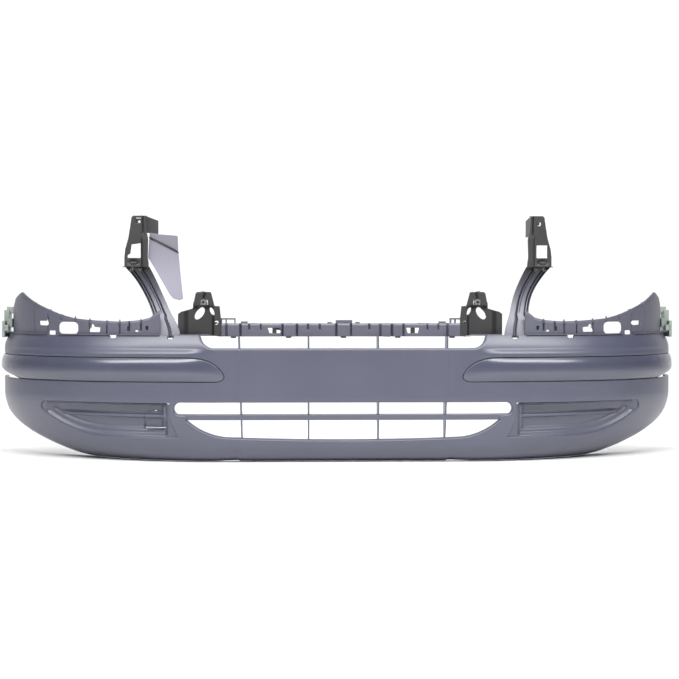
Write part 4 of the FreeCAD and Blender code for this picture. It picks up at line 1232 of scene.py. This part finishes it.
class BUMPER_OT_blocks(BuildStep, bpy.types.Operator):
    """Build the shoulder blocks and their short brackets"""
    bl_idname = "bumper.blocks"
    bl_label = "Blocks and short brackets"

    def build(self, look):
        for side in (1, -1):
            make_block(side)


class BUMPER_OT_arms(BuildStep, bpy.types.Operator):
    """Build the splayed arms and the brackets on them"""
    bl_idname = "bumper.arms"
    bl_label = "Arms"

    def build(self, look):
        for side in (1, -1):
            make_arm(side)
            make_hook(side)


class BUMPER_OT_intake_panel(BuildStep, bpy.types.Operator):
    """Build the pale panel beside the left arm"""
    bl_idname = "bumper.intake_panel"
    bl_label = "Intake panel"

    def build(self, look):
        make_intake_panel()


class BUMPER_OT_shelves(BuildStep, bpy.types.Operator):
    """Build the headlight shelves"""
    bl_idname = "bumper.shelves"
    bl_label = "Headlight shelves"

    def build(self, look):
        make_seam_screws()
        for side in (1, -1):
            make_shelf(side)
            make_retainer(side)


class BUMPER_OT_studio(BuildStep, bpy.types.Operator):
    """Set up the backdrop, lights and camera"""
    bl_idname = "bumper.studio"
    bl_label = "Studio"

    def build(self, look):
        make_studio(look)


OPERATORS = (BUMPER_OT_materials, BUMPER_OT_face, BUMPER_OT_strips, BUMPER_OT_blanks, BUMPER_OT_cap,
             BUMPER_OT_rail, BUMPER_OT_blocks, BUMPER_OT_arms, BUMPER_OT_intake_panel, BUMPER_OT_shelves,
             BUMPER_OT_studio)


class BUMPER_PT_panel(bpy.types.Panel):
    """Sidebar panel of the bumper cover"""
    bl_idname = "BUMPER_PT_panel"
    bl_label = "Bumper cover"
    bl_space_type = "VIEW_3D"
    bl_region_type = "UI"
    bl_category = "Bumper"

    def draw(self, context):
        for operator in OPERATORS:
            self.layout.operator(operator.bl_idname)
        for name in BumperLook.__annotations__:
            self.layout.prop(context.scene.bumper_look, name)


CLASSES = (BumperLook,) + OPERATORS + (BUMPER_PT_panel,)


def register():
    for item in CLASSES:
        bpy.utils.register_class(item)
    bpy.types.Scene.bumper_look = PointerProperty(type=BumperLook)


def unregister():
    del bpy.types.Scene.bumper_look
    for item in reversed(CLASSES):
        bpy.utils.unregister_class(item)


def main():
    register()
    bpy.ops.bumper.materials()
    bpy.ops.bumper.face()
    bpy.ops.bumper.strips()
    bpy.ops.bumper.blanks()
    bpy.ops.bumper.cap()
    bpy.ops.bumper.rail()
    bpy.ops.bumper.blocks()
    bpy.ops.bumper.arms()
    bpy.ops.bumper.intake_panel()
    bpy.ops.bumper.shelves()
    bpy.ops.bumper.studio()


if __name__ == "__main__":
    main()
